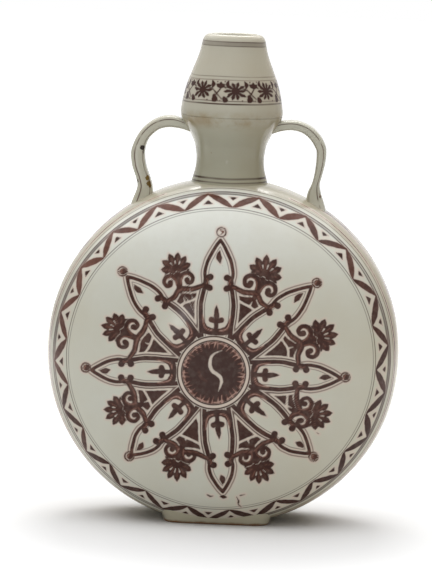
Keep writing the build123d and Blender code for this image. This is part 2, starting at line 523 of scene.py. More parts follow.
        spread, gap = 47.0, 6.2
        brush.patch([*sunk(4.0), inward.spot(math.dist(root, self.centre) - spread)], 0.85,
                    limit=gap - petal_distance)
        low, deep, middle = sunk(6.0), sunk(10.0), inward.spot(14.5)
        brush.lift([low[0], deep[1], middle, deep[3], low[4]], (0.9, 1.1, 1.3, 1.1, 0.9))
        brush.lift([middle, inward.spot(9.0)], (1.1, 0.4))
        brush.lift(sunk(3.9), (0.9,))
        brush.stroke(sunk(0.0), (2.2, 2.7, 2.9, 2.7, 2.2), 0.85)
        brush.thin(sunk(0.6), (0.5,), 0.4)

    def paint_petal(self, brush: Brush, petal: Petal) -> None:
        """The cusps at the waist, the flame, the trefoil and the crescent inside one petal.

        Args:
            brush: works in the photograph's pixels.
            petal: the petal to fill.
        """
        def placed(points: Pairs, side: int = 1) -> list[Point]:
            """Points of the petal drawing in this petal."""
            return self.stretched(petal, points, side)

        for side in SIDES:
            brush.stroke(placed([(90.3, 12.8), (94.0, 11.6), (95.4, 8.4)], side), (2.6, 2.8, 3.3), 0.9)
            brush.stroke(placed([(89.5, 12.8), (86.0, 11.6), (84.6, 8.6)], side), (2.6, 2.8, 3.3), 0.9)
            brush.lift(placed([(90.1, 5.0), (90.0, 9.2)], side), (0.8, 0.3))
            brush.stroke(placed([(51.6, 2.0), (52.9, 5.0)], side), (2.2, 2.8), 0.85)
            brush.thin(placed([(88.2, 12.4), (90.8, 10.6), (93.6, 11.8)], side), (0.5,), 0.35)
        flame = placed([(122.6, -0.2), (118.4, -0.9), (115.0, -0.6), (109.6, 0.8)])
        brush.stroke(flame, (0.3, 2.1, 2.9, 0.4), 0.85)
        leaf = placed([(67.6, -0.6), (62.0, -0.5), (57.0, 0.0), (52.0, 0.0), (43.0, 0.0)])
        brush.stroke(leaf, (0.3, 2.2, 2.7, 2.2, 2.0), 0.9)
        brush.patch(placed(mirrored_loop(self.crescent)), 0.9)
        for side in SIDES:
            brush.thin(placed([(57.0, 13.7), (49.6, 12.9), (44.0, 10.2), (42.0, 4.0)], side), (0.7,), 0.1)
        self.paint_finial(brush, petal)

    def paint_finial(self, brush: Brush, petal: Petal) -> None:
        """The small round at a petal's tip.

        Args:
            brush: works in the photograph's pixels.
            petal: the petal that carries it.
        """
        x, y = petal.finial
        if petal.kind is Finial.SMEAR:
            brush.stroke([(x - 2.6, y - 0.4), (x, y), (x + 3.0, y + 0.4)], (0.8, 1.9, 0.8), 0.9)
            return
        brush.stroke(circle(petal.finial, 4.6), (0.7,), 0.75)
        if petal.kind is Finial.DOT:
            brush.dot((x + 0.5, y), 3.2, 0.8)
            brush.thin([(x - 2.2, y + 1.4), (x - 0.6, y - 1.8)], (0.7,), 0.2)
        else:
            brush.stroke([(x - 1.5, y - 2.0), (x + 1.8, y - 0.4), (x - 0.5, y + 2.4)], (0.6, 0.9, 0.4), 0.45)

    def paint_palmette(self, brush: Brush, palmette: Palmette) -> None:
        """A fan of pointed lotus petals over two volutes.

        Args:
            brush: works in the photograph's pixels.
            palmette: where the palmette stands, and its size.
        """
        size, heart, heart_radius = palmette.size, (20.6, 0.0), 7.0
        ahead = (palmette.fan[0] - palmette.root[0], palmette.fan[1] - palmette.root[1])
        origin = Drawing(palmette.fan, ahead).spot(-self.drawn_fan * size)
        flower = Drawing(origin, ahead, size)

        def sized(*widths: float) -> list[float]:
            """Half-widths for a palmette of this size."""
            return [width * size for width in widths]

        brush.dot(flower.spot(21.0), heart_radius * size, 0.8)
        for bearing, length in self.fan_petals:
            run = spoke(heart, math.radians(bearing), (4.0, length * 0.5, length * 0.76, length))
            brush.stroke(flower.at(run), sized(2.8, 3.9, 3.1, 0.2), 0.85)
        for bearing, length in self.fan_petals:
            run = spoke(heart, math.radians(bearing), (6.5, length * 0.72))
            brush.thin(flower.at(run), (0.3, 0.45), 0.5)
        for bearing in (-31, -2, 27):
            brush.lift(flower.at(spoke(heart, math.radians(bearing), (7.0, 10.6))), (0.4, 0.8))
        collar = flower.at([(19.0, -9.0), (15.5, -4.5), (14.6, 0.0), (15.5, 4.5), (19.0, 9.0)])
        brush.thin(collar, (0.6,), 0.1)
        brush.lift(flower.at([(18.4, -2.6), (19.8, 0.0), (18.4, 2.6)]), (0.3, 0.5, 0.3))
        brush.stroke(flower.at([(-2.0, 0.0), (8.0, 0.0), (16.0, 0.0)]), sized(2.6, 2.8, 3.2), 0.85)
        for side in SIDES:
            brush.lift(flower.at([(17.6, 3.4), (18.6, 9.0), (17.4, 14.0)], side), (0.3, 0.9, 0.5))
            widths = sized(2.2, 2.3, 2.4, 2.4, 2.3, 2.1, 2.0, 2.2, 2.9)
            brush.stroke(flower.at(self.volute, side), widths, 0.85)
            shine = flower.at([(6.0, 2.4), (11.0, 3.6), (14.2, 7.4), (13.6, 11.6), (10.4, 13.6)], side)
            brush.thin(shine, (0.5,), 0.25)

    def paint_medallion(self, brush: Brush) -> None:
        """The dark disc with its fringe of light strokes and the light double curl.

        Args:
            brush: works in the photograph's pixels.
        """
        disc, bare = 31.3, 37.0
        where = brush.near(np.asarray([self.centre]), self.medallion + 2)
        radius = np.hypot(brush.across[where] - self.centre[0], brush.along[where] - self.centre[1])
        brush.ink[where] = np.maximum(brush.ink[where], bare - radius)
        brush.lay(where, radius - disc, 1.1)
        spin = np.random.default_rng(5)
        for turn in np.arange(0, math.tau, math.tau / 36):
            lean = turn + spin.uniform(-0.05, 0.09)
            inner, outer = spin.uniform(23.6, 25.6), spin.uniform(30.2, 31.2)
            ray = [*circle(self.centre, inner, [turn]), *circle(self.centre, outer, [lean])]
            brush.thin(ray, (0.3, 0.95), spin.uniform(-0.1, 0.25))
        for turn in np.arange(0.2, math.tau, math.tau / 12):
            sweep = turn + np.linspace(0, spin.uniform(0.25, 0.42), 4)
            brush.thin(circle(self.centre, 29.8, sweep), (0.8,), -0.1)
        brush.thin([(199.0, 372.0), (201.0, 377.0), (206.0, 381.0)], (2.2,), 0.75)
        brush.lift(self.double_curl, (0.2, 0.8, 1.4, 1.7, 1.8, 1.8, 1.8, 1.8, 1.5, 1.1, 0.4))


# The body


@dataclass(frozen=True)
class SideSpray:
    """The flower spray on each narrow side, drawn round the body's edge. Its flat coordinates
    are millimetres round the edge and millimetres across the seam, the front being positive.
    Its stem is a sine with the given swing and number of half waves."""

    reach: float = 96.0
    swing: float = 7.5
    waves: float = 2.4
    leaves: int = 17
    leaf_reach: float = 0.97
    flower_room: float = 0.13
    line_reach: float = 120.0
    line_offset: float = 24.0
    line_narrowing: float = 0.9
    leaf_strokes: Strokes = (
        (((0.0, 0.0), (3.5, 4.5), (8.0, 6.5), (12.0, 6.0)), (0.6, 2.3, 1.9, 0.2), 0.75),
        (((0.0, 0.0), (5.0, -2.0), (8.5, -5.0)), (0.5, 1.7, 0.2), 0.7))
    crown_leaves: Strokes = (
        (((101.0, 2.5), (88.0, 6.5), (66.0, 9.5)), (1.2, 2.6, 0.3), 0.9),
        (((98.0, 9.0), (80.0, 12.6), (58.0, 14.0)), (0.3, 0.55, 0.3), 0.95))

    def stem_point(self, middle: float, share: float) -> Point:
        """The stem's place at a share of its reach, from -1 to 1."""
        return middle + self.reach * share, self.swing * math.sin(math.pi * self.waves * share)

    def paint(self, brush: Brush, middle: float) -> None:
        """Paints one side: a winding stem with leaves, a flower, and a thin line on each side.

        Args:
            brush: works in the flat coordinates above.
            middle: where the spray's middle lies round the edge.
        """
        stem = [self.stem_point(middle, share) for share in np.linspace(-1, 1, 37)]
        brush.stroke(stem, (0.4, 0.8, 0.8, 0.8, 0.4), 0.7)
        for k, share in enumerate(np.linspace(-self.leaf_reach, self.leaf_reach, self.leaves)):
            if abs(share) >= self.flower_room:
                self.paint_leaves(brush, self.stem_point(middle, share), 1 if k % 2 else -1,
                                  1 if share > 0 else -1)
        for bearing in range(0, 360, 36):
            brush.stroke(spoke((middle, 0.0), math.radians(bearing), (3.0, 6.6, 10.5)), (1.2, 2.2, 0.3), 0.8)
        brush.dot((middle, 0.0), 3.4, 0.9)
        brush.lift(circle((middle, 0.0), 4.4), (0.4,))
        ahead = (1 if middle == 0 else -1, 0)
        crown = Drawing((middle, 0.0), ahead)
        offset = self.line_offset
        for side in (-ahead[0], ahead[0]):
            for points, widths, load in self.crown_leaves:
                brush.stroke(crown.at(points, side), widths, load)
            end = self.line_narrowing * offset
            line = crown.at([(-self.line_reach, end), (0.0, offset), (self.line_reach, end)], side)
            brush.stroke(line, (0.45, 0.6, 0.45), 0.95)

    def paint_leaves(self, brush: Brush, place: Point, way: int, ahead: int) -> None:
        """A long curled leaf on one side of the stem and a short one on the other.

        Args:
            brush: works in the flat coordinates above.
            place: where they leave the stem.
            way: the side of the long leaf, 1 or -1.
            ahead: the way they grow along the stem, 1 or -1.
        """
        x, y = place
        for points, widths, load in self.leaf_strokes:
            brush.stroke([(x + a * ahead, y + b * way) for a, b in points], widths, load)


@dataclass(frozen=True)
class BodyForm:
    """The body's outer form: a disc about the Y axis whose section is a superellipse. The
    share of the half-width to the power of the fullness, plus the share of the half-depth to
    the same power, makes 1."""

    half_width: float = 109.0
    half_height: float = 107.2
    half_depth: float = 58.0
    centre_height: float = 103.8
    fullness: float = 2.9
    wall: float = 5.5
    underside: float = 2.0

    def meridian(self, inset: float = 0.0, count: int = 6001) -> tuple[np.ndarray, np.ndarray, np.ndarray]:
        """The section from the face's middle to the rim.

        Args:
            inset: how far inside the outer form, for the inner wall.
            count: number of points.
        Returns:
            Share of the half-width, depth, and length along the section.
        """
        turn = np.linspace(0, math.pi / 2, count)
        share = np.sin(turn) ** (2 / self.fullness)
        depth = np.cos(turn) ** (2 / self.fullness) * (self.half_depth - inset)
        return share, depth, run_along(np.stack([share * (self.half_width - inset), depth], axis=-1))

    def length_at(self, share: float) -> float:
        """Length along the section from the face's middle to a share of the half-width."""
        shares, _, lengths = self.meridian()
        return float(np.interp(share, shares, lengths))

    def surface(self, bearing: np.ndarray, length: np.ndarray, inset: float = 0.0) -> np.ndarray:
        """Points on the front half: the section is turned about the Y axis by the bearing, and
        the underside is cut flat.

        Args:
            bearing: angles round the face, from the right and upwards.
            length: lengths along the section.
            inset: how far inside the outer form.
        Returns:
            One point for each bearing and length.
        """
        shares, depths, lengths = self.meridian(inset)
        share = np.interp(length, lengths, shares)
        depth = np.interp(length, lengths, depths)
        across = (self.half_width - inset) * share * np.cos(bearing)
        height = self.centre_height + (self.half_height - inset) * share * np.sin(bearing)
        return np.stack([across, -depth, np.maximum(height, self.underside + inset)], axis=-1)


@dataclass(frozen=True)
class Border:
    """The bands painted round the face: a thin line, a thick line, a zigzag and two thin
    lines. Shares are of the body's half-width. The zigzag's inner corners are bearings in the
    photograph, seen from the face's middle."""

    thin_share: float = 0.9655
    thick_share: float = 0.9425
    inner_share: float = 0.8655
    pixel_centre: Point = (219.5, 359.5)
    inner_bearings: tuple[float, ...] = (
        12.4, 31.0, 50.4, 67.1, 85.2, 103.1, 122.2, 138.8, 155.4, 172.4, 189.5, 206.5, 223.6,
        240.6, 257.7, 273.8, 291.5, 307.2, 323.5, 339.8, 356.1)
    stroke_half_width: float = 2.15
    inner_room: float = 0.4
    outer_room: float = 0.6
    inner_triangle: float = 0.19
    outer_triangle: float = 0.17
    triangle_height: float = 1.5
    pale_bearing: float = 112.0

    def body_bearings(self, form: BodyForm, camera: PhotoCamera) -> np.ndarray:
        """Turns the zigzag's inner corners, measured in the photograph, into bearings on the
        body: both are read along the inner ring and one is interpolated from the other.

        Args:
            form: the body's form.
            camera: where the corners were measured.
        Returns:
            The bearings, rising.
        """
        turn = np.linspace(0, math.tau, 721)
        ring = form.surface(turn, np.full(turn.shape, form.length_at(self.inner_share)))
        across, down = camera.pixels(ring)
        seen = np.unwrap(np.arctan2(self.pixel_centre[1] - down, across - self.pixel_centre[0]))
        wanted = np.radians(self.inner_bearings)
        wanted = np.where(wanted < seen[0], wanted + math.tau, wanted)
        return np.sort(np.interp(wanted, seen, turn) % math.tau)

    def paint_zigzag(self, brush: Brush, form: BodyForm, camera: PhotoCamera, radius: float) -> None:
        """Paints the zigzag's lens-shaped strokes and the small triangle in each corner.

        Args:
            brush: works in millimetres round the body and along its section.
            form: the body's form.
            camera: where the corners were measured.
            radius: the radius at which bearings become millimetres.
        """
        inner = self.body_bearings(form, camera)
        low = form.length_at(self.inner_share) + self.inner_room
        high = form.length_at(self.thick_share) - self.outer_room
        bearings = np.concatenate([inner[-2:] - math.tau, inner, inner[:2] + math.tau]) * radius
        outer = (bearings[:-1] + bearings[1:]) / 2
        spin = np.random.default_rng(11)
        for k in range(len(outer)):
            left, right, top = (bearings[k], low), (bearings[k + 1], low), (outer[k], high)
            for foot in (left, right):
                middle = ((foot[0] + top[0]) / 2, (foot[1] + top[1]) / 2)
                fat = self.stroke_half_width * spin.uniform(0.9, 1.12)
                load = self.load_at(middle[0] / radius, spin)
                brush.stroke([foot, middle, top], (0.6, fat, fat * 1.05, 0.7), load)
            self.triangle(brush, (left, right, top), self.inner_triangle)
            if k + 1 < len(outer):
                self.triangle(brush, (top, (outer[k + 1], high), right), self.outer_triangle)

    def load_at(self, bearing: float, spin: np.random.Generator) -> float:
        """How much paint a border stroke has: little at the top left, much low down."""
        away = math.cos(bearing - math.radians(self.pale_bearing))
        return float(np.clip(0.8 - 0.2 * away + spin.uniform(-0.06, 0.06), 0.2, 1.0))

    def triangle(self, brush: Brush, corners: Pairs, share: float) -> None:
        """A small triangle in the middle of a big one.

        Args:
            brush: works round the body.
            corners: the big one's corners.
            share: the small one's size as a share of it.
        """
        x, y = (sum(values) / 3 for values in zip(*corners))
        tall = share * self.triangle_height
        brush.patch([(x + (a - x) * share, y + (b - y) * tall) for a, b in corners], 0.95)


@dataclass(frozen=True)
class BodyHalf:
    """One dished half of the body, a closed shell with a painted outer face."""

    side: Side
    form: BodyForm = field(default_factory=BodyForm)
    rosette: Rosette = field(default_factory=Rosette)
    border: Border = field(default_factory=Border)
    spray: SideSpray = field(default_factory=SideSpray)
    fine_rings: int = 116
    rings: int = 148
    fine_length: float = 102.0
    inner_rings: int = 20
    seam_step: int = 4
    paper_radius: float = 100.0
    edge_reach: float = 2.0
    waist_radius: float = 84.0
    lobe_run: float = 8.0
    medal_reach: float = 60.0

    def shell(self) -> tuple[np.ndarray, list[list[int]], np.ndarray, np.ndarray, np.ndarray]:
        """The half's mesh, seen as the front one.

        The outer face is a square grid bent to a disc: the points whose larger grid step is k
        form ring k, evenly spaced round it. The inner wall is a plain round grid, and a flat
        ring of faces joins the two at the seam.

        Returns:
            Points, faces, the outer points' bearings and lengths, and the seam's point numbers.
        """
        rings, count = self.rings, 2 * self.rings + 1
        steps = np.arange(-rings, rings + 1)
        across, up = np.meshgrid(steps, steps, indexing="ij")
        ring = np.maximum(abs(across), abs(up))
        even, quarter = np.maximum(ring, 1), math.pi / 4
        bearing = np.select([across == ring, up == ring, across == -ring],
                            [quarter * up / even, quarter * (2 - across / even), quarter * (4 - up / even)],
                            quarter * (across / even - 2))
        total = self.form.meridian()[2][-1]
        fine = np.linspace(0, self.fine_length, self.fine_rings + 1)
        coarse = np.linspace(self.fine_length, total, rings - self.fine_rings + 1)[1:]
        length = np.concatenate([fine, coarse])[ring]
        outer = self.form.surface(bearing, length).reshape(-1, 3)
        number = np.arange(count * count).reshape(count, count)
        quads = np.stack([number[:-1, :-1], number[1:, :-1], number[1:, 1:], number[:-1, 1:]], axis=-1)
        rim = np.flatnonzero((ring == rings).ravel())
        rim = rim[np.argsort(bearing.ravel()[rim] % math.tau, kind="stable")]
        around = len(rim) // self.seam_step
        inner, faces = self.inner_wall(around, len(outer))
        joints = self.seam(rim, around, len(outer) + len(inner) - around)
        return (np.vstack([outer, inner]), quads.reshape(-1, 4).tolist() + faces + joints,
                bearing.ravel(), length.ravel(), rim)

    def inner_wall(self, around: int, first: int) -> tuple[np.ndarray, list[list[int]]]:
        """The inner wall: rings of points at even lengths along the inset section, closed at
        the face's middle by a fan, with its faces looking into the hollow.

        Args:
            around: number of points in a ring.
            first: the number of the wall's first point.
        Returns:
            Points and faces.
        """
        wall = self.form.wall
        turn = np.arange(around) * math.tau / around
        length = np.linspace(0, self.form.meridian(wall)[2][-1], self.inner_rings + 1)[1:]
        points = self.form.surface(*np.meshgrid(turn, length), wall).reshape(-1, 3)
        middle = self.form.surface(np.zeros(1), np.zeros(1), wall)
        number = first + 1 + np.arange(len(points)).reshape(self.inner_rings, around)
        after = np.roll(number, -1, axis=1)
        fan = np.stack([np.full(around, first), after[0], number[0]], axis=-1)
        quads = np.stack([number[:-1], after[:-1], after[1:], number[1:]], axis=-1).reshape(-1, 4)
        return np.vstack([middle, points]), fan.tolist() + quads.tolist()

    def seam(self, rim: np.ndarray, around: int, first: int) -> list[list[int]]:
        """The flat faces between the outer rim and the inner one, four outer edges to each.

        Args:
            rim: numbers of the outer rim's points, in order.
            around: number of points in the inner rim.
            first: the number of the inner rim's first point.
        Returns:
            The faces.
        """
        step = np.arange(around)
        outer = [rim[(self.seam_step * step + k) % len(rim)] for k in range(self.seam_step, -1, -1)]
        return np.stack([*outer, first + step, first + (step + 1) % around], axis=-1).tolist()

    def build(self, camera: PhotoCamera, finish: "Finish") -> bpy.types.Object:
        """Makes the half, paints it and gives it its glaze.

        Args:
            camera: where the rosette was measured.
            finish: the glaze.
        Returns:
            The half's object.
        """
        points, faces, bearing, length, rim = self.shell()
        across, down = camera.pixels(points[:len(bearing)])
        painted = self.painted(across, down, bearing, length, camera)
        if self.side is Side.REAR:
            points = points * (1, -1, 1)
            faces = [corners[::-1] for corners in faces]
        inside = (0, len(points) - len(bearing))
        values = {label: np.pad(numbers, inside, constant_values=bare)
                  for label, (numbers, bare) in painted.items()}
        piece = make_piece(f"painted_{self.side.value}_half", points, faces, values, sharp_loop=rim)
        finish.dress(piece)
        return piece

    def painted(self, across: np.ndarray, down: np.ndarray, bearing: np.ndarray, length: np.ndarray,
                camera: PhotoCamera) -> dict[str, tuple[np.ndarray, float]]:
        """Paints the outer face.

        Args:
            across: each outer point's pixels across.
            down: its pixels down.
            bearing: its bearing round the face.
            length: its length along the section.
            camera: where the border was measured.
        Returns:
            For each number that the glaze reads: its values, and its value on bare clay.
        """
        face = length < self.form.length_at(self.border.inner_share)
        across = across + np.where(face, 0.0, FAR_OFF)
        petal = self.rosette.petal_distance(across, down)
        brush = Brush(across, down)
        self.rosette.paint(brush, petal)
        ringed = Brush(bearing % math.tau * self.paper_radius, length, self.edge_reach)
        self.border.paint_zigzag(ringed, self.form, camera, self.paper_radius)
        beside = self.painted_edge(bearing, length)
        ink = np.where(face, brush.ink, np.minimum(ringed.ink, beside.ink) / PIXEL_MM)
        load = np.where(face, brush.load, np.where(beside.ink < ringed.ink, beside.load, ringed.load))
        medal = np.hypot(across - self.rosette.centre[0], down - self.rosette.centre[1])
        lobe = np.clip((medal - self.waist_radius) / self.lobe_run, 0, 1)
        return {"ink": (ink, BARE_INK), "load": (load, 0.7), "petal": (petal, self.rosette.petal_reach),
                "medal": (np.minimum(medal, self.medal_reach), self.medal_reach), "lobe": (lobe, 0.0),
                "reach": (length, 0.0)}

    def painted_edge(self, bearing: np.ndarray, length: np.ndarray) -> Brush:
        """Paints the spray on both narrow sides.

        Args:
            bearing: each outer point's bearing round the face.
            length: its length along the section.
        Returns:
            The brush that holds the paint.
        """
        quarter = math.pi / 2
        edge = (bearing + quarter) % math.tau - quarter
        rise = self.form.meridian()[2][-1] - length
        beside = Brush(edge * self.paper_radius, rise if self.side is Side.FRONT else -rise, self.edge_reach)
        for middle in (0.0, math.pi * self.paper_radius):
            self.spray.paint(beside, middle)
        return beside


# Meshes


def make_piece(name: str, points: np.ndarray, faces: list[list[int]], values: dict[str, np.ndarray],
               sharp_loop: np.ndarray | None = None) -> bpy.types.Object:
    """Makes a smooth mesh object from points in millimetres.

    Args:
        name: the piece's name.
        points: one point per row.
        faces: point numbers of each face.
        values: per-point numbers that the material reads, by name.
        sharp_loop: numbers of points between which edges stay sharp.
    Returns:
        The new object, linked to the scene.
    """
    mesh = bpy.data.meshes.new(name)
    mesh.from_pydata((points * MM).tolist(), [], faces)
    mesh.update()
    mesh.shade_smooth()
    for label, numbers in values.items():
        kept = mesh.attributes.new(label, "FLOAT", "POINT")
        kept.data.foreach_set("value", np.asarray(numbers, np.float32))
    if sharp_loop is not None:
        on_loop = np.zeros(len(points), bool)
        on_loop[sharp_loop] = True
        pairs = np.empty(2 * len(mesh.edges), np.int32)
        mesh.edges.foreach_get("vertices", pairs)
        sharp = on_loop[pairs].reshape(-1, 2).all(axis=1)
        mesh.attributes.new("sharp_edge", "BOOLEAN", "EDGE").data.foreach_set("value", sharp)
    mesh.validate()
    piece = bpy.data.objects.new(name, mesh)
    bpy.context.collection.objects.link(piece)
    return piece


def grid_faces(rows: int, columns: int, closed_rows: bool) -> list[list[int]]:
    """Faces of a grid of points whose columns close round.

    Args:
        rows: number of rows.
        columns: number of points in a row.
        closed_rows: whether the last row joins the first.
    Returns:
        The faces.
    """
    number = np.arange(rows * columns).reshape(rows, columns)
    above = np.roll(number, -1, axis=0)
    if not closed_rows:
        number, above = number[:-1], above[:-1]
    beside, beyond = np.roll(number, -1, axis=1), np.roll(above, -1, axis=1)
    return np.stack([number, beside, beyond, above], axis=-1).reshape(-1, 4).tolist()


def full_turn(count: int) -> np.ndarray:
    """Bearings spread evenly round a circle."""
    return np.arange(count) * math.tau / count


def oblong(turn: np.ndarray, squareness: float) -> tuple[np.ndarray, np.ndarray]:
    """A superellipse: the cosine and the sine of each turn, raised to 2 over the squareness
    with their signs kept."""
    return tuple(np.sign(wave) * abs(wave) ** (2 / squareness) for wave in (np.cos(turn), np.sin(turn)))


# Neck and bulb


class ThrownPart(Enum):
    """Which of the two thrown pieces of the neck is meant."""

    LOWER_NECK = "painted_lower_neck"
    BULB = "painted_bulb"


@dataclass(frozen=True)
class BulbScroll:
    """The flower scroll round the bulb, in millimetres round it and upwards."""

    band_radius: float = 28.6
    flower_height: float = 266.9
    flower_squash: float = 0.86
    flower_bearings: tuple[float, ...] = (-176.0, -130.0, -84.0, -37.0, 6.0, 47.5, 94.0, 140.0)
    bud: Point = (0.56, 269.0)
    stems: Strokes = (
        (((0.2, 268.6), (0.34, 267.6), (0.5, 264.4), (0.62, 262.0)), (0.35, 0.4, 0.3), 0.8),
        (((0.36, 262.4), (0.5, 266.2), (0.62, 269.4), (0.8, 267.6)), (0.3, 0.4, 0.35), 0.8))
    leaves: Strokes = (
        (((0.28, 272.6), (0.33, 270.6), (0.31, 268.6)), (0.4, 1.3, 0.4), 0.85),
        (((0.39, 263.9), (0.42, 261.9), (0.36, 260.7)), (0.9, 1.8, 0.5), 0.85),
        (((0.68, 262.9), (0.72, 261.4), (0.79, 260.9)), (0.7, 1.5, 0.4), 0.85),
        (((0.79, 273.0), (0.76, 271.0), (0.8, 269.6)), (0.3, 1.1, 0.4), 0.85))
    dots: tuple[tuple[Point, float], ...] = (
        ((0.5, 261.2), 0.5), ((0.57, 260.9), 0.45), ((0.2, 261.0), 0.5), ((0.68, 272.4), 0.4),
        ((0.45, 272.3), 0.45))

    def paint(self, brush: Brush) -> None:
        """Paints eight flowers on a winding stem, with buds, leaves and dots between them. The
        scroll is painted three times, a turn apart, so that it runs on over the back.

        Args:
            brush: works round the bulb.
        """
        spin = np.random.default_rng(3)
        places = np.radians(self.flower_bearings) * self.band_radius
        turn = math.tau * self.band_radius
        for place, after in zip(places, np.roll(places, -1)):
            for wrap in (-turn, 0.0, turn):
                self.paint_flower(brush, (place + wrap, self.flower_height), spin)
                self.paint_sprig(brush, place + wrap, (after - place) % turn)

    def paint_flower(self, brush: Brush, middle: Point, spin: np.random.Generator) -> None:
        """A flower of ten pointed petals about a dark middle, with light gaps between them.

        Args:
            brush: works round the bulb.
            middle: the flower's middle.
            spin: makes each petal a little different.
        """
        brush.dot(middle, 2.6, 0.85)
        for bearing in range(0, 360, 36):
            turn = math.radians(bearing + spin.uniform(-6, 6))
            length = spin.uniform(5.5, 6.6) * (1.0 + 0.12 * abs(math.cos(turn)))
            petal = spoke(middle, turn, (1.5, length * 0.6, length), self.flower_squash)
            brush.stroke(petal, (0.9, 1.5, 0.25), 0.95)
        for bearing in range(18, 360, 36):
            gap = spoke(middle, math.radians(bearing), (2.5, 4.0, 5.6), self.flower_squash)
            brush.lift(gap, (0.1, 0.3, 0.5))

    def paint_sprig(self, brush: Brush, across: float, gap: float) -> None:
        """The stem from one flower to the next, with a bud, leaves and dots. Their places are
        shares of the gap, and heights.

        Args:
            brush: works round the bulb.
            across: where the first flower stands.
            gap: how far the next one is.
        """
        def at(share: float, height: float) -> Point:
            """Flat coordinates of a place in the gap."""
            return across + gap * share, height

        for points, widths, load in self.stems + self.leaves:
            brush.stroke([at(*point) for point in points], widths, load)
        for bearing in (35, 90, 145):
            petal = spoke(at(*self.bud), math.radians(bearing), (0.0, 1.7, 3.1))
            brush.stroke(petal, (0.9, 1.15, 0.25), 0.85)
        for place, radius in self.dots:
            brush.dot(at(*place), radius, 0.75)


@dataclass(frozen=True)
class ThrownNeck:
    """The neck or the bulb: a profile turned about the flask's axis, closed round its wall.
    The outer and inner outlines are smooth lines through points of (radius, height)."""

    part: ThrownPart
    scroll: BulbScroll = field(default_factory=BulbScroll)
    joint_height: float = 250.3
    around: int = 288
    step: float = 0.55
    span_steps: int = 5
    paint_depth: float = 2.0
    brush_reach: float = 2.0
    outer: Pairs = (
        (24.4, 204.0), (23.9, 207.0), (23.3, 209.6), (22.6, 212.2), (21.9, 214.7), (21.35, 217.1),
        (21.0, 219.6), (20.85, 222.1), (20.9, 224.6), (21.2, 227.0), (21.6, 229.5), (22.1, 231.9),
        (23.05, 234.4), (24.1, 236.6), (25.35, 238.9), (26.4, 240.6), (27.4, 242.1), (29.1, 244.6),
        (30.5, 247.3), (31.35, 250.3), (31.45, 252.9), (31.15, 255.4), (30.75, 257.9), (30.35, 260.4),
        (29.84, 262.8), (29.25, 265.3), (28.55, 267.8), (27.8, 270.2), (26.92, 272.7), (25.96, 275.1),
        (25.03, 277.6), (24.09, 280.1), (23.13, 282.5), (22.21, 285.0), (21.35, 287.5), (20.65, 289.9),
        (20.1, 292.4), (19.6, 294.8), (19.15, 296.6), (18.3, 298.2), (17.2, 299.3), (16.0, 299.85),
        (14.9, 300.0), (13.9, 299.75), (13.1, 299.0), (12.6, 297.6), (12.5, 295.5))
    bore: Pairs = (
        (12.5, 291.0), (14.2, 285.0), (19.2, 276.0), (23.2, 268.0), (25.8, 260.0), (26.5, 251.5),
        (24.8, 246.0), (20.8, 240.0), (17.6, 234.0), (16.2, 228.0), (15.85, 222.3), (15.85, 212.0),
        (15.85, 204.0))

    def rising(self) -> np.ndarray:
        """The outer outline up to its highest point."""
        outer = curve(self.outer, self.span_steps)
        return outer[:np.argmax(outer[:, 1]) + 1]

    def profile(self) -> np.ndarray:
        """The wall's section as a closed loop, up the outer face and down the bore.

        Returns:
            Points as (radius, height), evenly spaced.
        """
        outer, bore = (curve(points, self.span_steps) for points in (self.outer, self.bore))
        radii, heights = self.rising().T
        joint = self.joint_height
        start = (np.interp(joint, heights, radii), joint)
        stop = (np.interp(-joint, -bore[:, 1], bore[:, 0]), joint)
        if self.part is ThrownPart.BULB:
            up, down = (line[line[:, 1] > joint] for line in (outer, bore))
            loop = np.vstack([start, up, down, stop, start])
        else:
            up, down = (line[line[:, 1] < joint] for line in (outer, bore))
            loop = np.vstack([up, start, stop, down, up[:1]])
        length = run_along(loop)[-1]
        return points_at(loop, np.linspace(0, length, int(length / self.step))[:-1])

    def build(self, finish: "Finish") -> bpy.types.Object:
        """Makes the piece, paints it and gives it its glaze.

        Args:
            finish: the glaze.
        Returns:
            The piece's object.
        """
        profile = self.profile()
        turn = full_turn(self.around)
        radius, height = profile[:, 0:1], np.repeat(profile[:, 1:2], self.around, axis=1)
        points = np.stack([radius * np.sin(turn), -radius * np.cos(turn), height], axis=-1).reshape(-1, 3)
        values: dict[str, np.ndarray] = {}
        if self.part is ThrownPart.BULB:
            bearing = np.broadcast_to((turn + math.pi) % math.tau - math.pi, height.shape)
            brush = Brush(bearing.ravel() * self.scroll.band_radius, height.ravel(), self.brush_reach)
            self.scroll.paint(brush)
            radii, heights = self.rising().T
            painted = np.interp(points[:, 2], heights, radii) - self.paint_depth
            outside = np.hypot(points[:, 0], points[:, 1]) > painted
            values = {"ink": np.where(outside, brush.ink / PIXEL_MM, BARE_INK), "load": brush.load}
        piece = make_piece(self.part.value, points, grid_faces(len(profile), self.around, True), values)
        finish.dress(piece)
        return piece


# Handles and foot


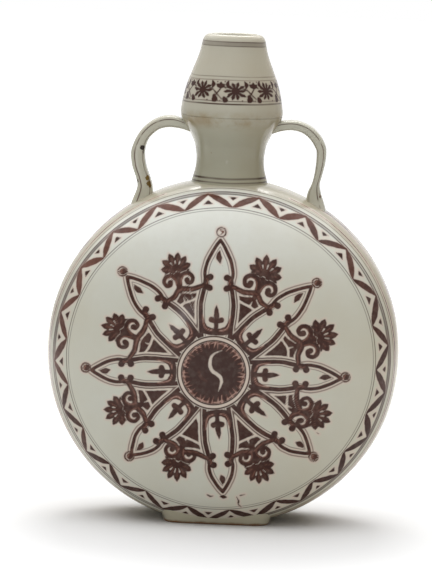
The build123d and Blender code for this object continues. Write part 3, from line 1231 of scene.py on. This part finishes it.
@dataclass(frozen=True)
class StrapHandle:
    """A strap handle. Its outer and inner outlines are smooth lines in the plane y = 0, and
    its section is a rounded oblong between them. The breadths are given at shares of its
    length."""

    side: Side
    outer: Pairs
    inner: Pairs
    breadths: Pairs = ((0.0, 14.0), (0.82, 14.0), (0.89, 15.4), (0.94, 18.5), (0.98, 24.0), (1.0, 28.0))
    along: int = 150
    around: int = 64
    squareness: float = 4.2
    span_steps: int = 9

    def build(self, finish: "Finish") -> bpy.types.Object:
        """Makes the strap and gives it its glaze.

        Args:
            finish: the glaze.
        Returns:
            The strap's object.
        """
        share = np.linspace(0, 1, self.along)
        lines = (curve(points, self.span_steps) for points in (self.outer, self.inner))
        outer, inner = (points_at(line, share * run_along(line)[-1]) for line in lines)
        middle, half = (outer + inner) / 2, (outer - inner) / 2
        turn = full_turn(self.around)
        thick, broad = oblong(turn, self.squareness)
        breadth = np.interp(share, *zip(*self.breadths))[:, None] / 2
        points = np.stack([middle[:, 0:1] + half[:, 0:1] * thick, -breadth * broad,
                           middle[:, 1:2] + half[:, 1:2] * thick], axis=-1).reshape(-1, 3)
        points, faces = self.capped(points, grid_faces(self.along, self.around, False))
        if self.side is Side.LEFT:
            faces = [corners[::-1] for corners in faces]
        corner = np.broadcast_to(np.degrees(turn), (self.along, self.around)).ravel()
        piece = make_piece(f"glazed_{self.side.value}_handle", points, faces,
                           {"turn": np.append(corner, [0.0, 0.0])})
        finish.dress(piece)
        return piece

    def capped(self, points: np.ndarray, faces: list[list[int]]) -> tuple[np.ndarray, list[list[int]]]:
        """Closes both ends with a fan about the middle of the end ring.

        Args:
            points: the strap's points.
            faces: its faces.
        Returns:
            The points and faces with the two fans.
        """
        last = (self.along - 1) * self.around
        ends = [points[:self.around].mean(axis=0), points[last:].mean(axis=0)]
        ring = np.arange(self.around)
        after = (ring + 1) % self.around
        low = np.stack([np.full(self.around, len(points)), after, ring], axis=-1)
        high = np.stack([np.full(self.around, len(points) + 1), last + ring, last + after], axis=-1)
        return np.vstack([points, ends]), faces + low.tolist() + high.tolist()


@dataclass(frozen=True)
class FootRing:
    """The foot: a wall section carried round a rounded oblong. The section's points are steps
    outwards from the oblong, and heights."""

    half_length: float = 33.6
    half_depth: float = 32.6
    squareness: float = 7.5
    around: int = 320
    section: Pairs = (
        (1.2, 9.0), (0.6, 6.0), (-0.2, 3.0), (-0.6, 1.2), (-1.0, 0.35), (-1.6, 0.0), (-2.6, 0.05),
        (-4.2, 0.0), (-6.0, 0.05), (-7.6, 0.1), (-8.3, 0.7), (-8.5, 2.0), (-8.5, 6.0), (-8.4, 9.0))

    def build(self, finish: "Finish") -> bpy.types.Object:
        """Makes the ring and gives it its glaze.

        Args:
            finish: the glaze.
        Returns:
            The ring's object.
        """
        section = curve(self.section, 4)
        turn = full_turn(self.around)
        ahead, aside = oblong(turn, self.squareness)
        inset = section[:, 0:1]
        height = np.repeat(np.maximum(section[:, 1:2], 0.0), self.around, axis=1)
        across, depth = (self.half_length + inset) * ahead, (self.half_depth + inset) * aside
        points = np.stack([across, depth, height], axis=-1).reshape(-1, 3)
        faces = [corners[::-1] for corners in grid_faces(len(section), self.around, True)]
        piece = make_piece("glazed_foot", points, faces, {})
        finish.dress(piece)
        return piece


# Materials


def linear(tone: Tone) -> tuple[float, float, float, float]:
    """A colour as Blender counts it, from one given in 8-bit display values.

    Args:
        tone: red, green and blue from 0 to 255.
    Returns:
        The linear colour, opaque.
    """
    share = np.array(tone) / 255
    light = np.where(share <= 0.04045, share / 12.92, ((share + 0.055) / 1.055) ** 2.4)
    return (*light.tolist(), 1.0)


class Bench:
    """Adds and joins the nodes of one node tree."""

    def __init__(self, tree: bpy.types.NodeTree) -> None:
        """Starts on an empty tree."""
        self.tree = tree
        tree.nodes.clear()

    def node(self, kind: str, settings: dict[str, object] | None = None,
             inputs: dict[str | int, object] | None = None) -> bpy.types.Node:
        """Adds a node.

        Args:
            kind: the node's type.
            settings: its properties, by name.
            inputs: what its sockets are joined to or set to, by name or number.
        Returns:
            The node.
        """
        made = self.tree.nodes.new(kind)
        made.location = (len(self.tree.nodes) % 12 * 180, -(len(self.tree.nodes) // 12) * 220)
        for name, value in (settings or {}).items():
            setattr(made, name, value)
        for name, value in (inputs or {}).items():
            self.feed(made.inputs[name], value)
        return made

    def feed(self, socket: Socket, value: object) -> None:
        """Joins a socket to another one, or sets its value.

        Args:
            socket: the input socket.
            value: the other socket, or a number, colour or vector.
        """
        if isinstance(value, Socket):
            self.tree.links.new(value, socket)
        else:
            socket.default_value = value

    def math(self, operation: str, first: object, second: object = 0.0, clamp: bool = False) -> Socket:
        """The result of a sum on one or two values."""
        settings = {"operation": operation, "use_clamp": clamp}
        return self.node("ShaderNodeMath", settings, {0: first, 1: second}).outputs[0]

    def times(self, first: object, second: object) -> Socket:
        """Two values multiplied."""
        return self.math("MULTIPLY", first, second)

    def plus(self, first: object, second: object, clamp: bool = False) -> Socket:
        """Two values added."""
        return self.math("ADD", first, second, clamp)

    def most(self, first: object, *others: object) -> Socket:
        """Compares several values.

        Args:
            first: one value.
            others: the rest.
        Returns:
            The greatest.
        """
        for other in others:
            first = self.math("MAXIMUM", first, other)
        return first

    def blend(self, share: object, first: object, second: object) -> Socket:
        """A colour between two others."""
        settings = {"data_type": "RGBA", "clamp_factor": True}
        return self.node("ShaderNodeMix", settings, {0: share, 6: first, 7: second}).outputs[2]

    def fade(self, value: object, start: float, stop: float, low: float = 0.0, high: float = 1.0) -> Socket:
        """A smooth step from low to high as a value goes from start to stop."""
        inputs = {"Value": value, "From Min": start, "From Max": stop, "To Min": low, "To Max": high}
        return self.node("ShaderNodeMapRange", {"interpolation_type": "SMOOTHSTEP"}, inputs).outputs[0]

    def line(self, value: object, place: float, half: object, soft: float) -> Socket:
        """A mask that is 1 where a value lies within half a width of a place."""
        away = self.math("ABSOLUTE", self.math("SUBTRACT", value, place))
        return self.fade(self.math("SUBTRACT", away, half), soft, -soft)

    def lines(self, value: object, marks: Sequence[tuple[float, float, float]], soft: float) -> Socket:
        """A mask of several lines.

        Args:
            value: what the lines follow.
            marks: each line's place, half-width and strength.
            soft: how soft their edges are.
        Returns:
            The strongest line's mask.
        """
        masks = (self.times(self.line(value, at, half, soft), strength) for at, half, strength in marks)
        return self.most(*masks)

    def noise(self, place: Socket, scale: float, detail: float = 2.0, rough: float = 0.5) -> Socket:
        """Soft noise between 0 and 1."""
        inputs = {"Vector": place, "Scale": scale, "Detail": detail, "Roughness": rough}
        return self.node("ShaderNodeTexNoise", {}, inputs).outputs[0]

    def stir(self, place: Socket, scale: float, reach: float, detail: float = 2.0,
             rough: float = 0.5) -> Socket:
        """Soft noise about 0, as wide as the reach."""
        return self.times(self.math("SUBTRACT", self.noise(place, scale, detail, rough), 0.5), reach)

    def length(self, vector: Socket) -> Socket:
        """A vector's length."""
        return self.node("ShaderNodeVectorMath", {"operation": "LENGTH"}, {0: vector}).outputs["Value"]

    def read(self, name: str) -> Socket:
        """A number kept on the mesh."""
        return self.node("ShaderNodeAttribute", {"attribute_name": name}).outputs["Fac"]

    def place(self) -> Socket:
        """The point in the object's own coordinates."""
        return self.node("ShaderNodeTexCoord").outputs["Object"]

    def axes(self, place: Socket) -> Sockets:
        """A point's three coordinates."""
        return self.node("ShaderNodeSeparateXYZ", {}, {0: place}).outputs


class Kind(Enum):
    """What a node group's socket carries."""

    VALUE = "NodeSocketFloat"
    COLOUR = "NodeSocketColor"


def new_group(name: str, inputs: dict[str, Kind],
              outputs: dict[str, Kind]) -> tuple[bpy.types.NodeTree, Bench]:
    """An empty node group.

    Args:
        name: the group's name.
        inputs: its input sockets.
        outputs: its output sockets.
    Returns:
        The group's tree and a bench that works on it.
    """
    tree = bpy.data.node_groups.new(name, "ShaderNodeTree")
    for way, sockets in (("INPUT", inputs), ("OUTPUT", outputs)):
        for label, kind in sockets.items():
            tree.interface.new_socket(name=label, in_out=way, socket_type=kind.value)
    return tree, Bench(tree)


@dataclass(frozen=True)
class GlazeTones:
    """The celadon glaze's two colours and how far it leans to the warm one."""

    base: Tone = (206, 207, 196)
    warm: Tone = (197, 190, 168)
    warmth: float = 0.3


@dataclass(frozen=True)
class CeladonGlaze:
    """The pale glaze: a base colour that drifts to a warmer one in soft clouds, fine mottling,
    a few iron specks, and a surface with a slight swell. Scales are noise scales in a metre."""

    speck: Tone = (118, 96, 70)
    cloud_scale: float = 17.0
    mottle_scale: float = 230.0
    speck_scale: float = 95.0
    speck_rarity: float = 0.94
    sheen_scale: float = 60.0
    swell_scale: float = 45.0
    ripple_scale: float = 210.0

    def group(self) -> bpy.types.NodeTree:
        """Builds the glaze as a node group.

        Returns:
            The group.
        """
        tree, bench = new_group(
            "celadon_glaze", {"Base": Kind.COLOUR, "Warm": Kind.COLOUR, "Warmth": Kind.VALUE},
            {"Color": Kind.COLOUR, "Roughness": Kind.VALUE, "Height": Kind.VALUE})
        given = bench.node("NodeGroupInput").outputs
        place = bench.place()
        share = bench.plus(given["Warmth"], bench.stir(place, self.cloud_scale, 0.9, 3.0, 0.55), clamp=True)
        ground = bench.blend(share, given["Base"], given["Warm"])
        mottle = bench.fade(bench.noise(place, self.mottle_scale, 3.0, 0.6), 0.35, 0.75, 0.0, 0.16)
        ground = bench.blend(mottle, ground, bench.blend(0.5, ground, given["Warm"]))
        cells = bench.node("ShaderNodeTexVoronoi", {"feature": "F1"},
                           {"Vector": place, "Scale": self.speck_scale, "Randomness": 1.0}).outputs
        draw = bench.node("ShaderNodeSeparateColor", {}, {0: cells["Color"]}).outputs[0]
        chosen = bench.math("GREATER_THAN", draw, self.speck_rarity)
        speck = bench.times(chosen, bench.fade(cells["Distance"], 0.075, 0.02))
        ground = bench.blend(bench.times(speck, 0.45), ground, linear(self.speck))
        rough = bench.fade(bench.noise(place, self.sheen_scale, 3.0, 0.6), 0.3, 0.8, 0.10, 0.22)
        height = bench.plus(bench.times(bench.noise(place, self.swell_scale), 0.7),
                            bench.times(bench.noise(place, self.ripple_scale), 0.3))
        bench.node("NodeGroupOutput", {}, {"Color": ground, "Roughness": rough, "Height": height})
        return tree


@dataclass(frozen=True)
class CopperRed:
    """Copper-red paint under the glaze. The distance, stirred a little by noise, gives a soft
    mask and a wider pink halo, and the load with two noises gives the colour."""

    thin: Tone = (172, 138, 124)
    middle: Tone = (110, 72, 60)
    thick: Tone = (60, 35, 28)
    edge_scale: float = 420.0
    cloud_scale: float = 75.0
    grain_scale: float = 520.0

    def group(self) -> bpy.types.NodeTree:
        """Builds the paint as a node group.

        Returns:
            The group.
        """
        tree, bench = new_group("copper_red", {"Distance": Kind.VALUE, "Load": Kind.VALUE},
                                {"Mask": Kind.VALUE, "Halo": Kind.VALUE, "Color": Kind.COLOUR})
        given = bench.node("NodeGroupInput").outputs
        place = bench.place()
        distance = bench.plus(given["Distance"], bench.stir(place, self.edge_scale, 0.9, 2.0, 0.6))
        mask = bench.fade(distance, 0.75, -0.55)
        halo = bench.fade(given["Distance"], 2.9, 0.2)
        clouds = bench.plus(bench.stir(place, self.cloud_scale, 0.45, 3.0, 0.6),
                            bench.stir(place, self.grain_scale, 0.28, 3.0, 0.7))
        depth = bench.plus(given["Load"], clouds, clamp=True)
        pale = bench.blend(bench.fade(depth, 0.05, 0.5), linear(self.thin), linear(self.middle))
        colour = bench.blend(bench.fade(depth, 0.45, 0.95), pale, linear(self.thick))
        bench.node("NodeGroupOutput", {}, {"Mask": mask, "Halo": halo, "Color": colour})
        return tree


@dataclass(frozen=True)
class Pots:
    """The glaze and the paint that all the finishes share."""

    celadon: bpy.types.NodeTree = field(default_factory=lambda: CeladonGlaze().group())
    copper: bpy.types.NodeTree = field(default_factory=lambda: CopperRed().group())


class Finish:
    """One finish: a material that can be given to pieces."""

    slot: str = ""
    bump_strength = 0.05
    bump_height = 0.002
    gloss = 0.15

    def __init__(self, name: str, pots: Pots) -> None:
        """Makes the material with its shader and output.

        Args:
            name: the material's name.
            pots: the glaze and the paint.
        """
        self.pots = pots
        self.material = bpy.data.materials.new(name)
        self.material.use_nodes = True
        self.bench = Bench(self.material.node_tree)
        self.shader = self.bench.node("ShaderNodeBsdfPrincipled")
        self.bench.node("ShaderNodeOutputMaterial", {}, {"Surface": self.shader.outputs[0]})

    def celadon(self, base: object, warm: object, warmth: object) -> Sockets:
        """Places the glaze, between two colours."""
        inputs = {"Base": base, "Warm": warm, "Warmth": warmth}
        return self.bench.node("ShaderNodeGroup", {"node_tree": self.pots.celadon}, inputs).outputs

    def plain_celadon(self, tones: GlazeTones) -> Sockets:
        """Places the glaze in even tones."""
        return self.celadon(linear(tones.base), linear(tones.warm), tones.warmth)

    def copper(self, distance: object, load: object) -> Sockets:
        """Places the paint, by its distance and load."""
        inputs = {"Distance": distance, "Load": load}
        return self.bench.node("ShaderNodeGroup", {"node_tree": self.pots.copper}, inputs).outputs

    def join(self, colour: Socket, rough: object, height: Socket) -> None:
        """Feeds the shader.

        Args:
            colour: the surface's colour.
            rough: its roughness.
            height: its bumps.
        """
        inputs = {"Strength": self.bump_strength, "Distance": self.bump_height, "Height": height}
        bump = self.bench.node("ShaderNodeBump", {}, inputs).outputs[0]
        for name, value in (("Base Color", colour), ("Roughness", rough), ("Normal", bump),
                            ("Specular IOR Level", self.gloss)):
            self.bench.feed(self.shader.inputs[name], value)

    def dress(self, piece: bpy.types.Object) -> None:
        """Gives the material to a piece in place of what it has.

        Args:
            piece: the piece's object.
        """
        piece.data.materials.clear()
        piece.data.materials.append(self.material)


class FaceGlaze(Finish):
    """The body's glaze over the painted rosette and bands. Distances to the petals and to the
    medallion's middle are the photograph's pixels, and the rings' places are millimetres."""

    slot = "face_glaze"
    tones = GlazeTones()
    # painted light: the paler glaze colour given to the top of the face, as if lit from above
    painted_top_light = (228, 229, 221)
    edge = GlazeTones((178, 172, 153), (160, 146, 118), 0.4)
    halo = (216, 190, 176)
    medal_lines = ((36.2, 0.75, 1.0), (32.0, 0.75, 1.0))

    def __init__(self, pots: Pots, form: BodyForm, border: Border) -> None:
        """Builds the material: the brush's paint, then the lines that follow a distance kept on
        the mesh: three along each petal, two round the medallion and five round the face.

        Args:
            pots: the glaze and the paint.
            form: the body's form.
            border: where the rings lie.
        """
        super().__init__("face_glaze", pots)
        bench = self.bench
        place = bench.place()
        paint = self.copper(bench.read("ink"), bench.read("load"))
        inner, thick, thin = (form.length_at(share) for share in
                              (border.inner_share, border.thick_share, border.thin_share))
        ground = self.ground(place, thick, thin)
        medal = bench.read("medal")
        petal = bench.plus(bench.read("petal"), bench.stir(place, 160.0, 1.0))
        outside = bench.fade(medal, 36.6, 38.0)
        mask = bench.most(bench.times(outside, self.petal_lines(petal)),
                          bench.lines(medal, self.medal_lines, 0.5),
                          self.rings(place, inner, thick, thin), paint["Mask"])
        beside = bench.most(bench.times(bench.line(petal, 0.8, 4.4, 1.6), outside),
                            bench.line(medal, 34.1, 2.0, 0.6), paint["Halo"])
        haloed = bench.blend(bench.times(beside, 0.5), ground["Color"], linear(self.halo))
        patchy = bench.fade(bench.noise(place, 300.0), 0.2, 0.6, 0.95, 1.0)
        colour = bench.blend(bench.times(mask, patchy), haloed, paint["Color"])
        self.join(colour, ground["Roughness"], ground["Height"])

    def ground(self, place: Socket, thick: float, thin: float) -> Sockets:
        """The bare glaze: paler towards the top of the face, which is painted light from above; warmer and
        darker to the right, which is painted shade as well as the glaze's warmer cast; and darker on the
        shoulder outside the border.

        Args:
            place: the point.
            thick: where the thick ring lies along the section.
            thin: where the thin ring lies.
        Returns:
            The glaze's outputs.
        """
        bench, shoulder = self.bench, 4.0
        axes = bench.axes(place)
        # painted shade and light: the glaze leans to its warmer, darker tone on the right as painted shade,
        # besides its warmer cast there, and away from it at the top as painted light
        lean = bench.math("SUBTRACT", bench.fade(axes[0], -0.04, 0.1, 0.0, 0.35),
                          bench.fade(axes[2], 0.12, 0.2, 0.0, 0.4))
        edge = bench.fade(bench.read("reach"), thick, thin + shoulder)
        # painted light: the face grows paler towards its top
        base = bench.blend(bench.fade(axes[2], 0.125, 0.205), linear(self.tones.base), linear(self.painted_top_light))
        return self.celadon(bench.blend(edge, base, linear(self.edge.base)),
                            bench.blend(edge, linear(self.tones.warm), linear(self.edge.warm)),
                            bench.plus(lean, self.tones.warmth))

    def petal_lines(self, petal: Socket) -> Socket:
        """A thick line along each petal with a thin one on either side of it, all a little
        slimmer towards the petals' tips.

        Args:
            petal: the distance to the nearest petal.
        Returns:
            Their mask.
        """
        bench = self.bench
        lobe = bench.read("lobe")
        thick = bench.line(petal, -0.1, bench.fade(lobe, 0.0, 1.0, 2.2, 1.75), 0.55)
        outer = bench.times(bench.line(petal, 3.6, 0.7, 0.5), bench.fade(lobe, 0.0, 1.0, 0.85, 0.6))
        inner = bench.times(bench.line(petal, -3.9, 0.45, 0.5), bench.fade(lobe, 0.0, 1.0, 0.75, 0.6))
        return bench.most(thick, outer, inner)

    def rings(self, place: Socket, inner: float, thick: float, thin: float) -> Socket:
        """The five lines round the face, the widest under an uneven wash.

        Args:
            place: the point.
            inner: where the zigzag's inner line lies along the section.
            thick: where the thick line lies.
            thin: where the thin line lies.
        Returns:
            Their mask.
        """
        bench = self.bench
        wave = bench.plus(bench.read("reach"), bench.stir(place, 22.0, 0.9))
        wash = bench.fade(bench.noise(place, 9.0, 1.0), 0.35, 0.65, 0.25, 0.75)
        marks = ((thick - 1.0, 0.42, 0.9), (thick + 1.2, 0.5, 0.9), (thin, 0.3, 0.75),
                 (inner, 0.3, 0.8), (inner - 1.7, 0.26, 0.6))
        wide = bench.times(bench.line(wave, thick, 1.9, 0.6), wash)
        return bench.most(wide, bench.lines(wave, marks, 0.32))


class NeckGlaze(Finish):
    """The glaze of the neck and bulb, with lines round them, a brown stain at the joint and painted shade on
    the right side. Lines are given by their height and half-width in millimetres and their strength."""

    slot = "neck_glaze"
    tones = GlazeTones((190, 189, 177), (180, 170, 147), 0.4)
    low = GlazeTones((170, 171, 156), (160, 152, 126), 0.4)
    # a brown used for the painted shade on the right side and for the stain at the joint
    brown = (150, 132, 98)
    halo = (190, 164, 150)
    bore_limit = 17.8
    stain = (248.6, 4.2)
    neck_lines = ((212.7, 0.6, 0.95), (210.2, 0.45, 0.8))
    bulb_lines = ((275.2, 0.25, 0.6), (273.2, 0.25, 0.6), (258.9, 0.45, 0.95), (260.7, 0.3, 0.75),
                  (295.9, 0.35, 0.85), (294.7, 1.2, 0.45), (293.5, 0.35, 0.8))

    def __init__(self, name: str, pots: Pots, part: ThrownPart) -> None:
        """Builds the material.

        Args:
            name: the material's name.
            pots: the glaze and the paint.
            part: the piece that it is for; the bulb's mesh carries brush work.
        """
        super().__init__(name, pots)
        bench = self.bench
        scroll = part is ThrownPart.BULB
        place = bench.place()
        across, _, height = bench.axes(place)
        rise = bench.fade(height, 0.23, 0.264)
        base, warm = (bench.blend(rise, linear(low), linear(high)) for low, high in
                      ((self.low.base, self.tones.base), (self.low.warm, self.tones.warm)))
        ground = self.celadon(base, warm, self.tones.warmth)
        paint = self.copper(bench.read("ink") if scroll else BARE_INK, 0.95)
        wave = bench.plus(height, bench.stir(place, 30.0, 0.0012, 1.0))
        faint = bench.fade(bench.noise(place, 40.0), 0.25, 0.6, 0.55, 1.0)
        marks = [(at * MM, half * MM, strength) for at, half, strength
                 in (self.bulb_lines if scroll else self.neck_lines)]
        mask = bench.times(faint, bench.lines(wave, marks, 0.00035))
        if scroll:
            mask = bench.most(paint["Mask"], mask)
        mask = bench.times(mask, bench.math("GREATER_THAN", self.radius(place), self.bore_limit * MM))
        # painted shade: towards the right the neck and bulb are drawn browner and darker, as if in shade
        # from a light on the left
        colour = bench.blend(bench.fade(across, -0.006, 0.03, 0.0, 0.4), ground["Color"], linear(self.brown))
        mottle = bench.fade(bench.noise(place, 55.0, 4.0, 0.65), 0.36, 0.66)
        stained = bench.times(bench.line(wave, self.stain[0] * MM, self.stain[1] * MM, 0.003), mottle)
        colour = bench.blend(bench.times(stained, 0.75), colour, linear(self.brown))
        if scroll:
            colour = bench.blend(bench.times(paint["Halo"], 0.2), colour, linear(self.halo))
        self.join(bench.blend(mask, colour, paint["Color"]), ground["Roughness"], ground["Height"])

    def radius(self, place: Socket) -> Socket:
        """The distance from the flask's axis, which keeps the lines off the bore."""
        flat = self.bench.node("ShaderNodeVectorMath", {"operation": "MULTIPLY"}, {0: place, 1: (1, 1, 0)})
        return self.bench.length(flat.outputs[0])


@dataclass(frozen=True)
class Chip:
    """A place where the glaze is chipped or bubbled through to a darker tone."""

    place: tuple[float, float, float]
    radius: float
    tone: Tone


class HandleGlaze(Finish):
    """The straps' glaze, broken to brown along the edges where it runs thin. The edges are
    given by their turn round the strap's section in degrees, half-width and strength."""

    slot = "handle_glaze"
    tones = GlazeTones((192, 192, 178), (182, 172, 148), 0.35)
    edges = ((80.0, 3.4, 0.9), (280.0, 3.4, 0.9), (118.0, 3.0, 0.7), (242.0, 3.0, 0.7),
             (36.0, 3.0, 0.5), (324.0, 3.0, 0.5))
    chips = (Chip((-54.0, -7.0, 228.5), 1.6, (44, 34, 28)), Chip((-53.0, -7.0, 226.0), 1.3, (52, 40, 32)),
             Chip((-49.4, -7.0, 210.4), 2.0, (116, 92, 44)), Chip((-48.6, -7.0, 206.6), 2.2, (104, 80, 40)),
             Chip((-57.2, -7.0, 207.6), 1.4, (60, 46, 36)), Chip((57.0, -7.0, 203.0), 1.6, (96, 66, 50)))
    chip_rim = (2.3, 1.7)

    def __init__(self, pots: Pots) -> None:
        """Builds the material: brown lines near the section's corners, worn in places.

        Args:
            pots: the glaze and the paint.
        """
        super().__init__("handle_glaze", pots)
        bench = self.bench
        place = bench.place()
        ground = self.plain_celadon(self.tones)
        paint = self.copper(-1.0, 0.75)
        worn = bench.fade(bench.noise(place, 120.0), 0.3, 0.48)
        mask = bench.times(bench.lines(bench.read("turn"), self.edges, 3.0), worn)
        colour = bench.blend(mask, ground["Color"], paint["Color"])
        for chip in self.chips:
            offset = bench.node("ShaderNodeVectorMath", {"operation": "SUBTRACT"},
                                {0: place, 1: [v * MM for v in chip.place]})
            ragged = bench.plus(bench.length(offset.outputs[0]),
                                bench.times(bench.noise(place, 350.0, 3.0, 0.7), 0.004))
            start, stop = ((chip.radius + rim) * MM for rim in self.chip_rim)
            colour = bench.blend(bench.fade(ragged, start, stop), colour, linear(chip.tone))
        self.join(colour, ground["Roughness"], ground["Height"])


class FootGlaze(Finish):
    """The foot's glaze, with bare iron-brown clay along its lower edge."""

    slot = "foot_clay"
    tones = GlazeTones((196, 193, 174), (182, 172, 144), 0.45)
    clay = ((150, 112, 78), (104, 74, 50))
    burnt_edge = (134, 98, 66)

    def __init__(self, pots: Pots) -> None:
        """Builds the material: the glaze stops at a ragged line a little over the table.

        Args:
            pots: the glaze and the paint.
        """
        super().__init__("foot_clay", pots)
        bench = self.bench
        place = bench.place()
        ragged = bench.plus(bench.axes(place)[2], bench.stir(place, 130.0, 0.0022, 3.0))
        bare = bench.fade(ragged, 0.0012, 0.0006)
        ground = self.plain_celadon(self.tones)
        clay = bench.blend(bench.noise(place, 260.0, 3.0, 0.7), *(linear(tone) for tone in self.clay))
        edge = bench.times(bench.fade(ragged, 0.0022, 0.001), 0.6)
        colour = bench.blend(bare, bench.blend(edge, ground["Color"], linear(self.burnt_edge)), clay)
        rough = bench.plus(ground["Roughness"], bench.times(bare, 0.55))
        self.join(colour, rough, ground["Height"])


# The studio


@dataclass(frozen=True)
class Lamp:
    """A soft square lamp that looks at a point. Places are metres here."""

    name: str
    place: tuple[float, float, float]
    size: float
    power: float
    aim: tuple[float, float, float] = (0.0, 0.0, 0.12)

    def build(self) -> None:
        """Adds the lamp to the scene."""
        data = bpy.data.lights.new(self.name, "AREA")
        data.shape = "SQUARE"
        data.size, data.energy = self.size, self.power
        lamp = bpy.data.objects.new(self.name, data)
        back = np.array(self.place) - np.array(self.aim)
        back = back / np.linalg.norm(back)
        level = np.cross([0, 0, 1.0], back)
        level = level / np.linalg.norm(level)
        lamp.matrix_world = placed_matrix((level, np.cross(back, level), back), self.place)
        bpy.context.collection.objects.link(lamp)


@dataclass(frozen=True)
class Studio:
    """A white floor and surroundings with soft lamps above and in front. Lengths are metres
    here."""

    floor_reach: float = 6.0
    sky: float = 0.12
    floor_tone: float = 0.88
    glow_start: float = 0.12
    glow_full: float = 0.6
    lamps: tuple[Lamp, ...] = (
        Lamp("key", (-0.04, 0.14, 1.1), 2.1, 26.0),
        Lamp("back", (-0.02, 0.7, 1.1), 0.5, 5.0),
        Lamp("window", (-0.2, -1.28, 0.1), 0.06, 0.42),
        Lamp("front", (-0.05, -1.6, 1.5), 2.4, 7.0),
    )

    def build(self) -> None:
        """Adds the floor, the world and the lamps."""
        reach = self.floor_reach
        mesh = bpy.data.meshes.new("floor")
        corners = [(-reach, -reach, 0), (reach, -reach, 0), (reach, reach, 0), (-reach, reach, 0)]
        mesh.from_pydata(corners, [], [(0, 1, 2, 3)])
        floor = bpy.data.objects.new("floor", mesh)
        bpy.context.collection.objects.link(floor)
        floor.data.materials.append(self.floor_material())
        self.world()
        for lamp in self.lamps:
            lamp.build()
        bpy.context.scene.view_settings.view_transform = "Standard"

    def seen(self, bench: Bench) -> Socket:
        """1 for rays from the camera and for the ones that gloss and glass send out."""
        rays = bench.node("ShaderNodeLightPath").outputs
        return bench.most(*(rays[f"Is {kind} Ray"] for kind in ("Camera", "Glossy", "Transmission")))

    def floor_material(self) -> bpy.types.Material:
        """White paper. Away from the flask it also glows where it is seen, so that it reads as
        white beyond the lamps' reach.

        Returns:
            The material.
        """
        material = bpy.data.materials.new("floor_paper")
        material.use_nodes = True
        bench = Bench(material.node_tree)
        tone = self.floor_tone
        paper = bench.node("ShaderNodeBsdfDiffuse", {}, {"Color": (tone, tone, tone, 1.0)})
        away = bench.fade(bench.length(bench.place()), self.glow_start, self.glow_full)
        glow = bench.node("ShaderNodeEmission", {}, {"Color": (1, 1, 1, 1),
                                                     "Strength": bench.times(self.seen(bench), away)})
        both = bench.node("ShaderNodeAddShader", {}, {0: paper.outputs[0], 1: glow.outputs[0]})
        bench.node("ShaderNodeOutputMaterial", {}, {"Surface": both.outputs[0]})
        return material

    def world(self) -> None:
        """White where it is seen, and a plain level of light elsewhere."""
        world = bpy.data.worlds.new("studio")
        world.use_nodes = True
        bpy.context.scene.world = world
        bench = Bench(world.node_tree)
        strength = bench.plus(self.sky, bench.times(self.seen(bench), 1.0 - self.sky))
        light = bench.node("ShaderNodeBackground", {}, {"Color": (1, 1, 1, 1), "Strength": strength})
        bench.node("ShaderNodeOutputWorld", {}, {"Surface": light.outputs[0]})


# The whole flask


@dataclass
class PilgrimFlask:
    """The whole flask: builds each piece in order and ties it to the frame. The straps'
    outlines are points of (across, height)."""

    camera: PhotoCamera = field(default_factory=PhotoCamera)
    form: BodyForm = field(default_factory=BodyForm)
    border: Border = field(default_factory=Border)
    left_outer: Pairs = (
        (-24.0, 244.6), (-30.6, 247.2), (-34.9, 248.5), (-39.2, 248.7), (-44.2, 247.6), (-50.2, 244.3),
        (-55.6, 238.8), (-59.4, 231.9), (-61.2, 225.0), (-60.2, 217.0), (-57.8, 210.3), (-56.6, 205.4),
        (-57.1, 202.0), (-58.4, 198.6), (-60.0, 194.0), (-61.0, 187.0))
    left_inner: Pairs = (
        (-22.0, 237.8), (-28.5, 240.2), (-34.1, 241.2), (-39.0, 241.3), (-43.9, 239.9), (-48.1, 236.6),
        (-51.1, 232.2), (-52.6, 225.3), (-51.5, 217.3), (-49.1, 210.6), (-47.6, 206.2), (-47.1, 203.2),
        (-47.0, 200.0), (-47.6, 196.6), (-49.6, 190.0))
    right_outer: Pairs = (
        (24.0, 245.0), (30.4, 247.6), (34.1, 248.3), (38.4, 248.5), (44.0, 247.5), (50.3, 244.4),
        (55.4, 239.3), (58.4, 233.9), (59.2, 229.6), (58.8, 222.8), (57.2, 215.3), (55.9, 209.7),
        (56.5, 205.2), (57.6, 201.6), (59.4, 196.4), (61.2, 189.6))
    right_inner: Pairs = (
        (22.0, 238.0), (28.3, 240.6), (33.7, 242.0), (38.6, 242.2), (44.2, 240.7), (48.7, 237.2),
        (51.9, 232.4), (53.0, 229.3), (52.9, 222.5), (52.0, 215.1), (50.6, 209.5), (48.8, 205.4),
        (48.0, 202.0), (48.2, 198.4), (50.0, 191.0))

    def stand_for(self, piece: bpy.types.Object, node: str) -> None:
        """Lets a piece ride on the body and take a node's place.

        Args:
            piece: the finished piece.
            node: the frame's node.
        """
        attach(piece, "root")
        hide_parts(node)
        log.info("%s stands for %s with %d faces", piece.name, node, len(piece.data.polygons))

    def build(self) -> None:
        """Builds all the pieces."""
        pots = Pots()
        face = FaceGlaze(pots, self.form, self.border)
        for side, node in ((Side.FRONT, "front_half"), (Side.REAR, "rear_half")):
            half = BodyHalf(side, self.form, border=self.border)
            self.stand_for(half.build(self.camera, face), node)
        for part, glaze, node in ((ThrownPart.LOWER_NECK, "neck_glaze", "lower_neck"),
                                  (ThrownPart.BULB, "bulb_glaze", "neck_bulb")):
            self.stand_for(ThrownNeck(part).build(NeckGlaze(glaze, pots, part)), node)
        strap = HandleGlaze(pots)
        for side, outer, inner, node in ((Side.LEFT, self.left_outer, self.left_inner, "left_handle"),
                                         (Side.RIGHT, self.right_outer, self.right_inner, "right_handle")):
            self.stand_for(StrapHandle(side, outer, inner).build(strap), node)
        self.stand_for(FootRing().build(FootGlaze(pots)), "foot_ring")


def main() -> None:
    """Builds the flask and its studio."""
    logging.basicConfig(level=logging.INFO, format="%(message)s")
    flask = PilgrimFlask()
    flask.camera.build()
    flask.build()
    Studio().build()


if __name__ == "__main__":
    main()
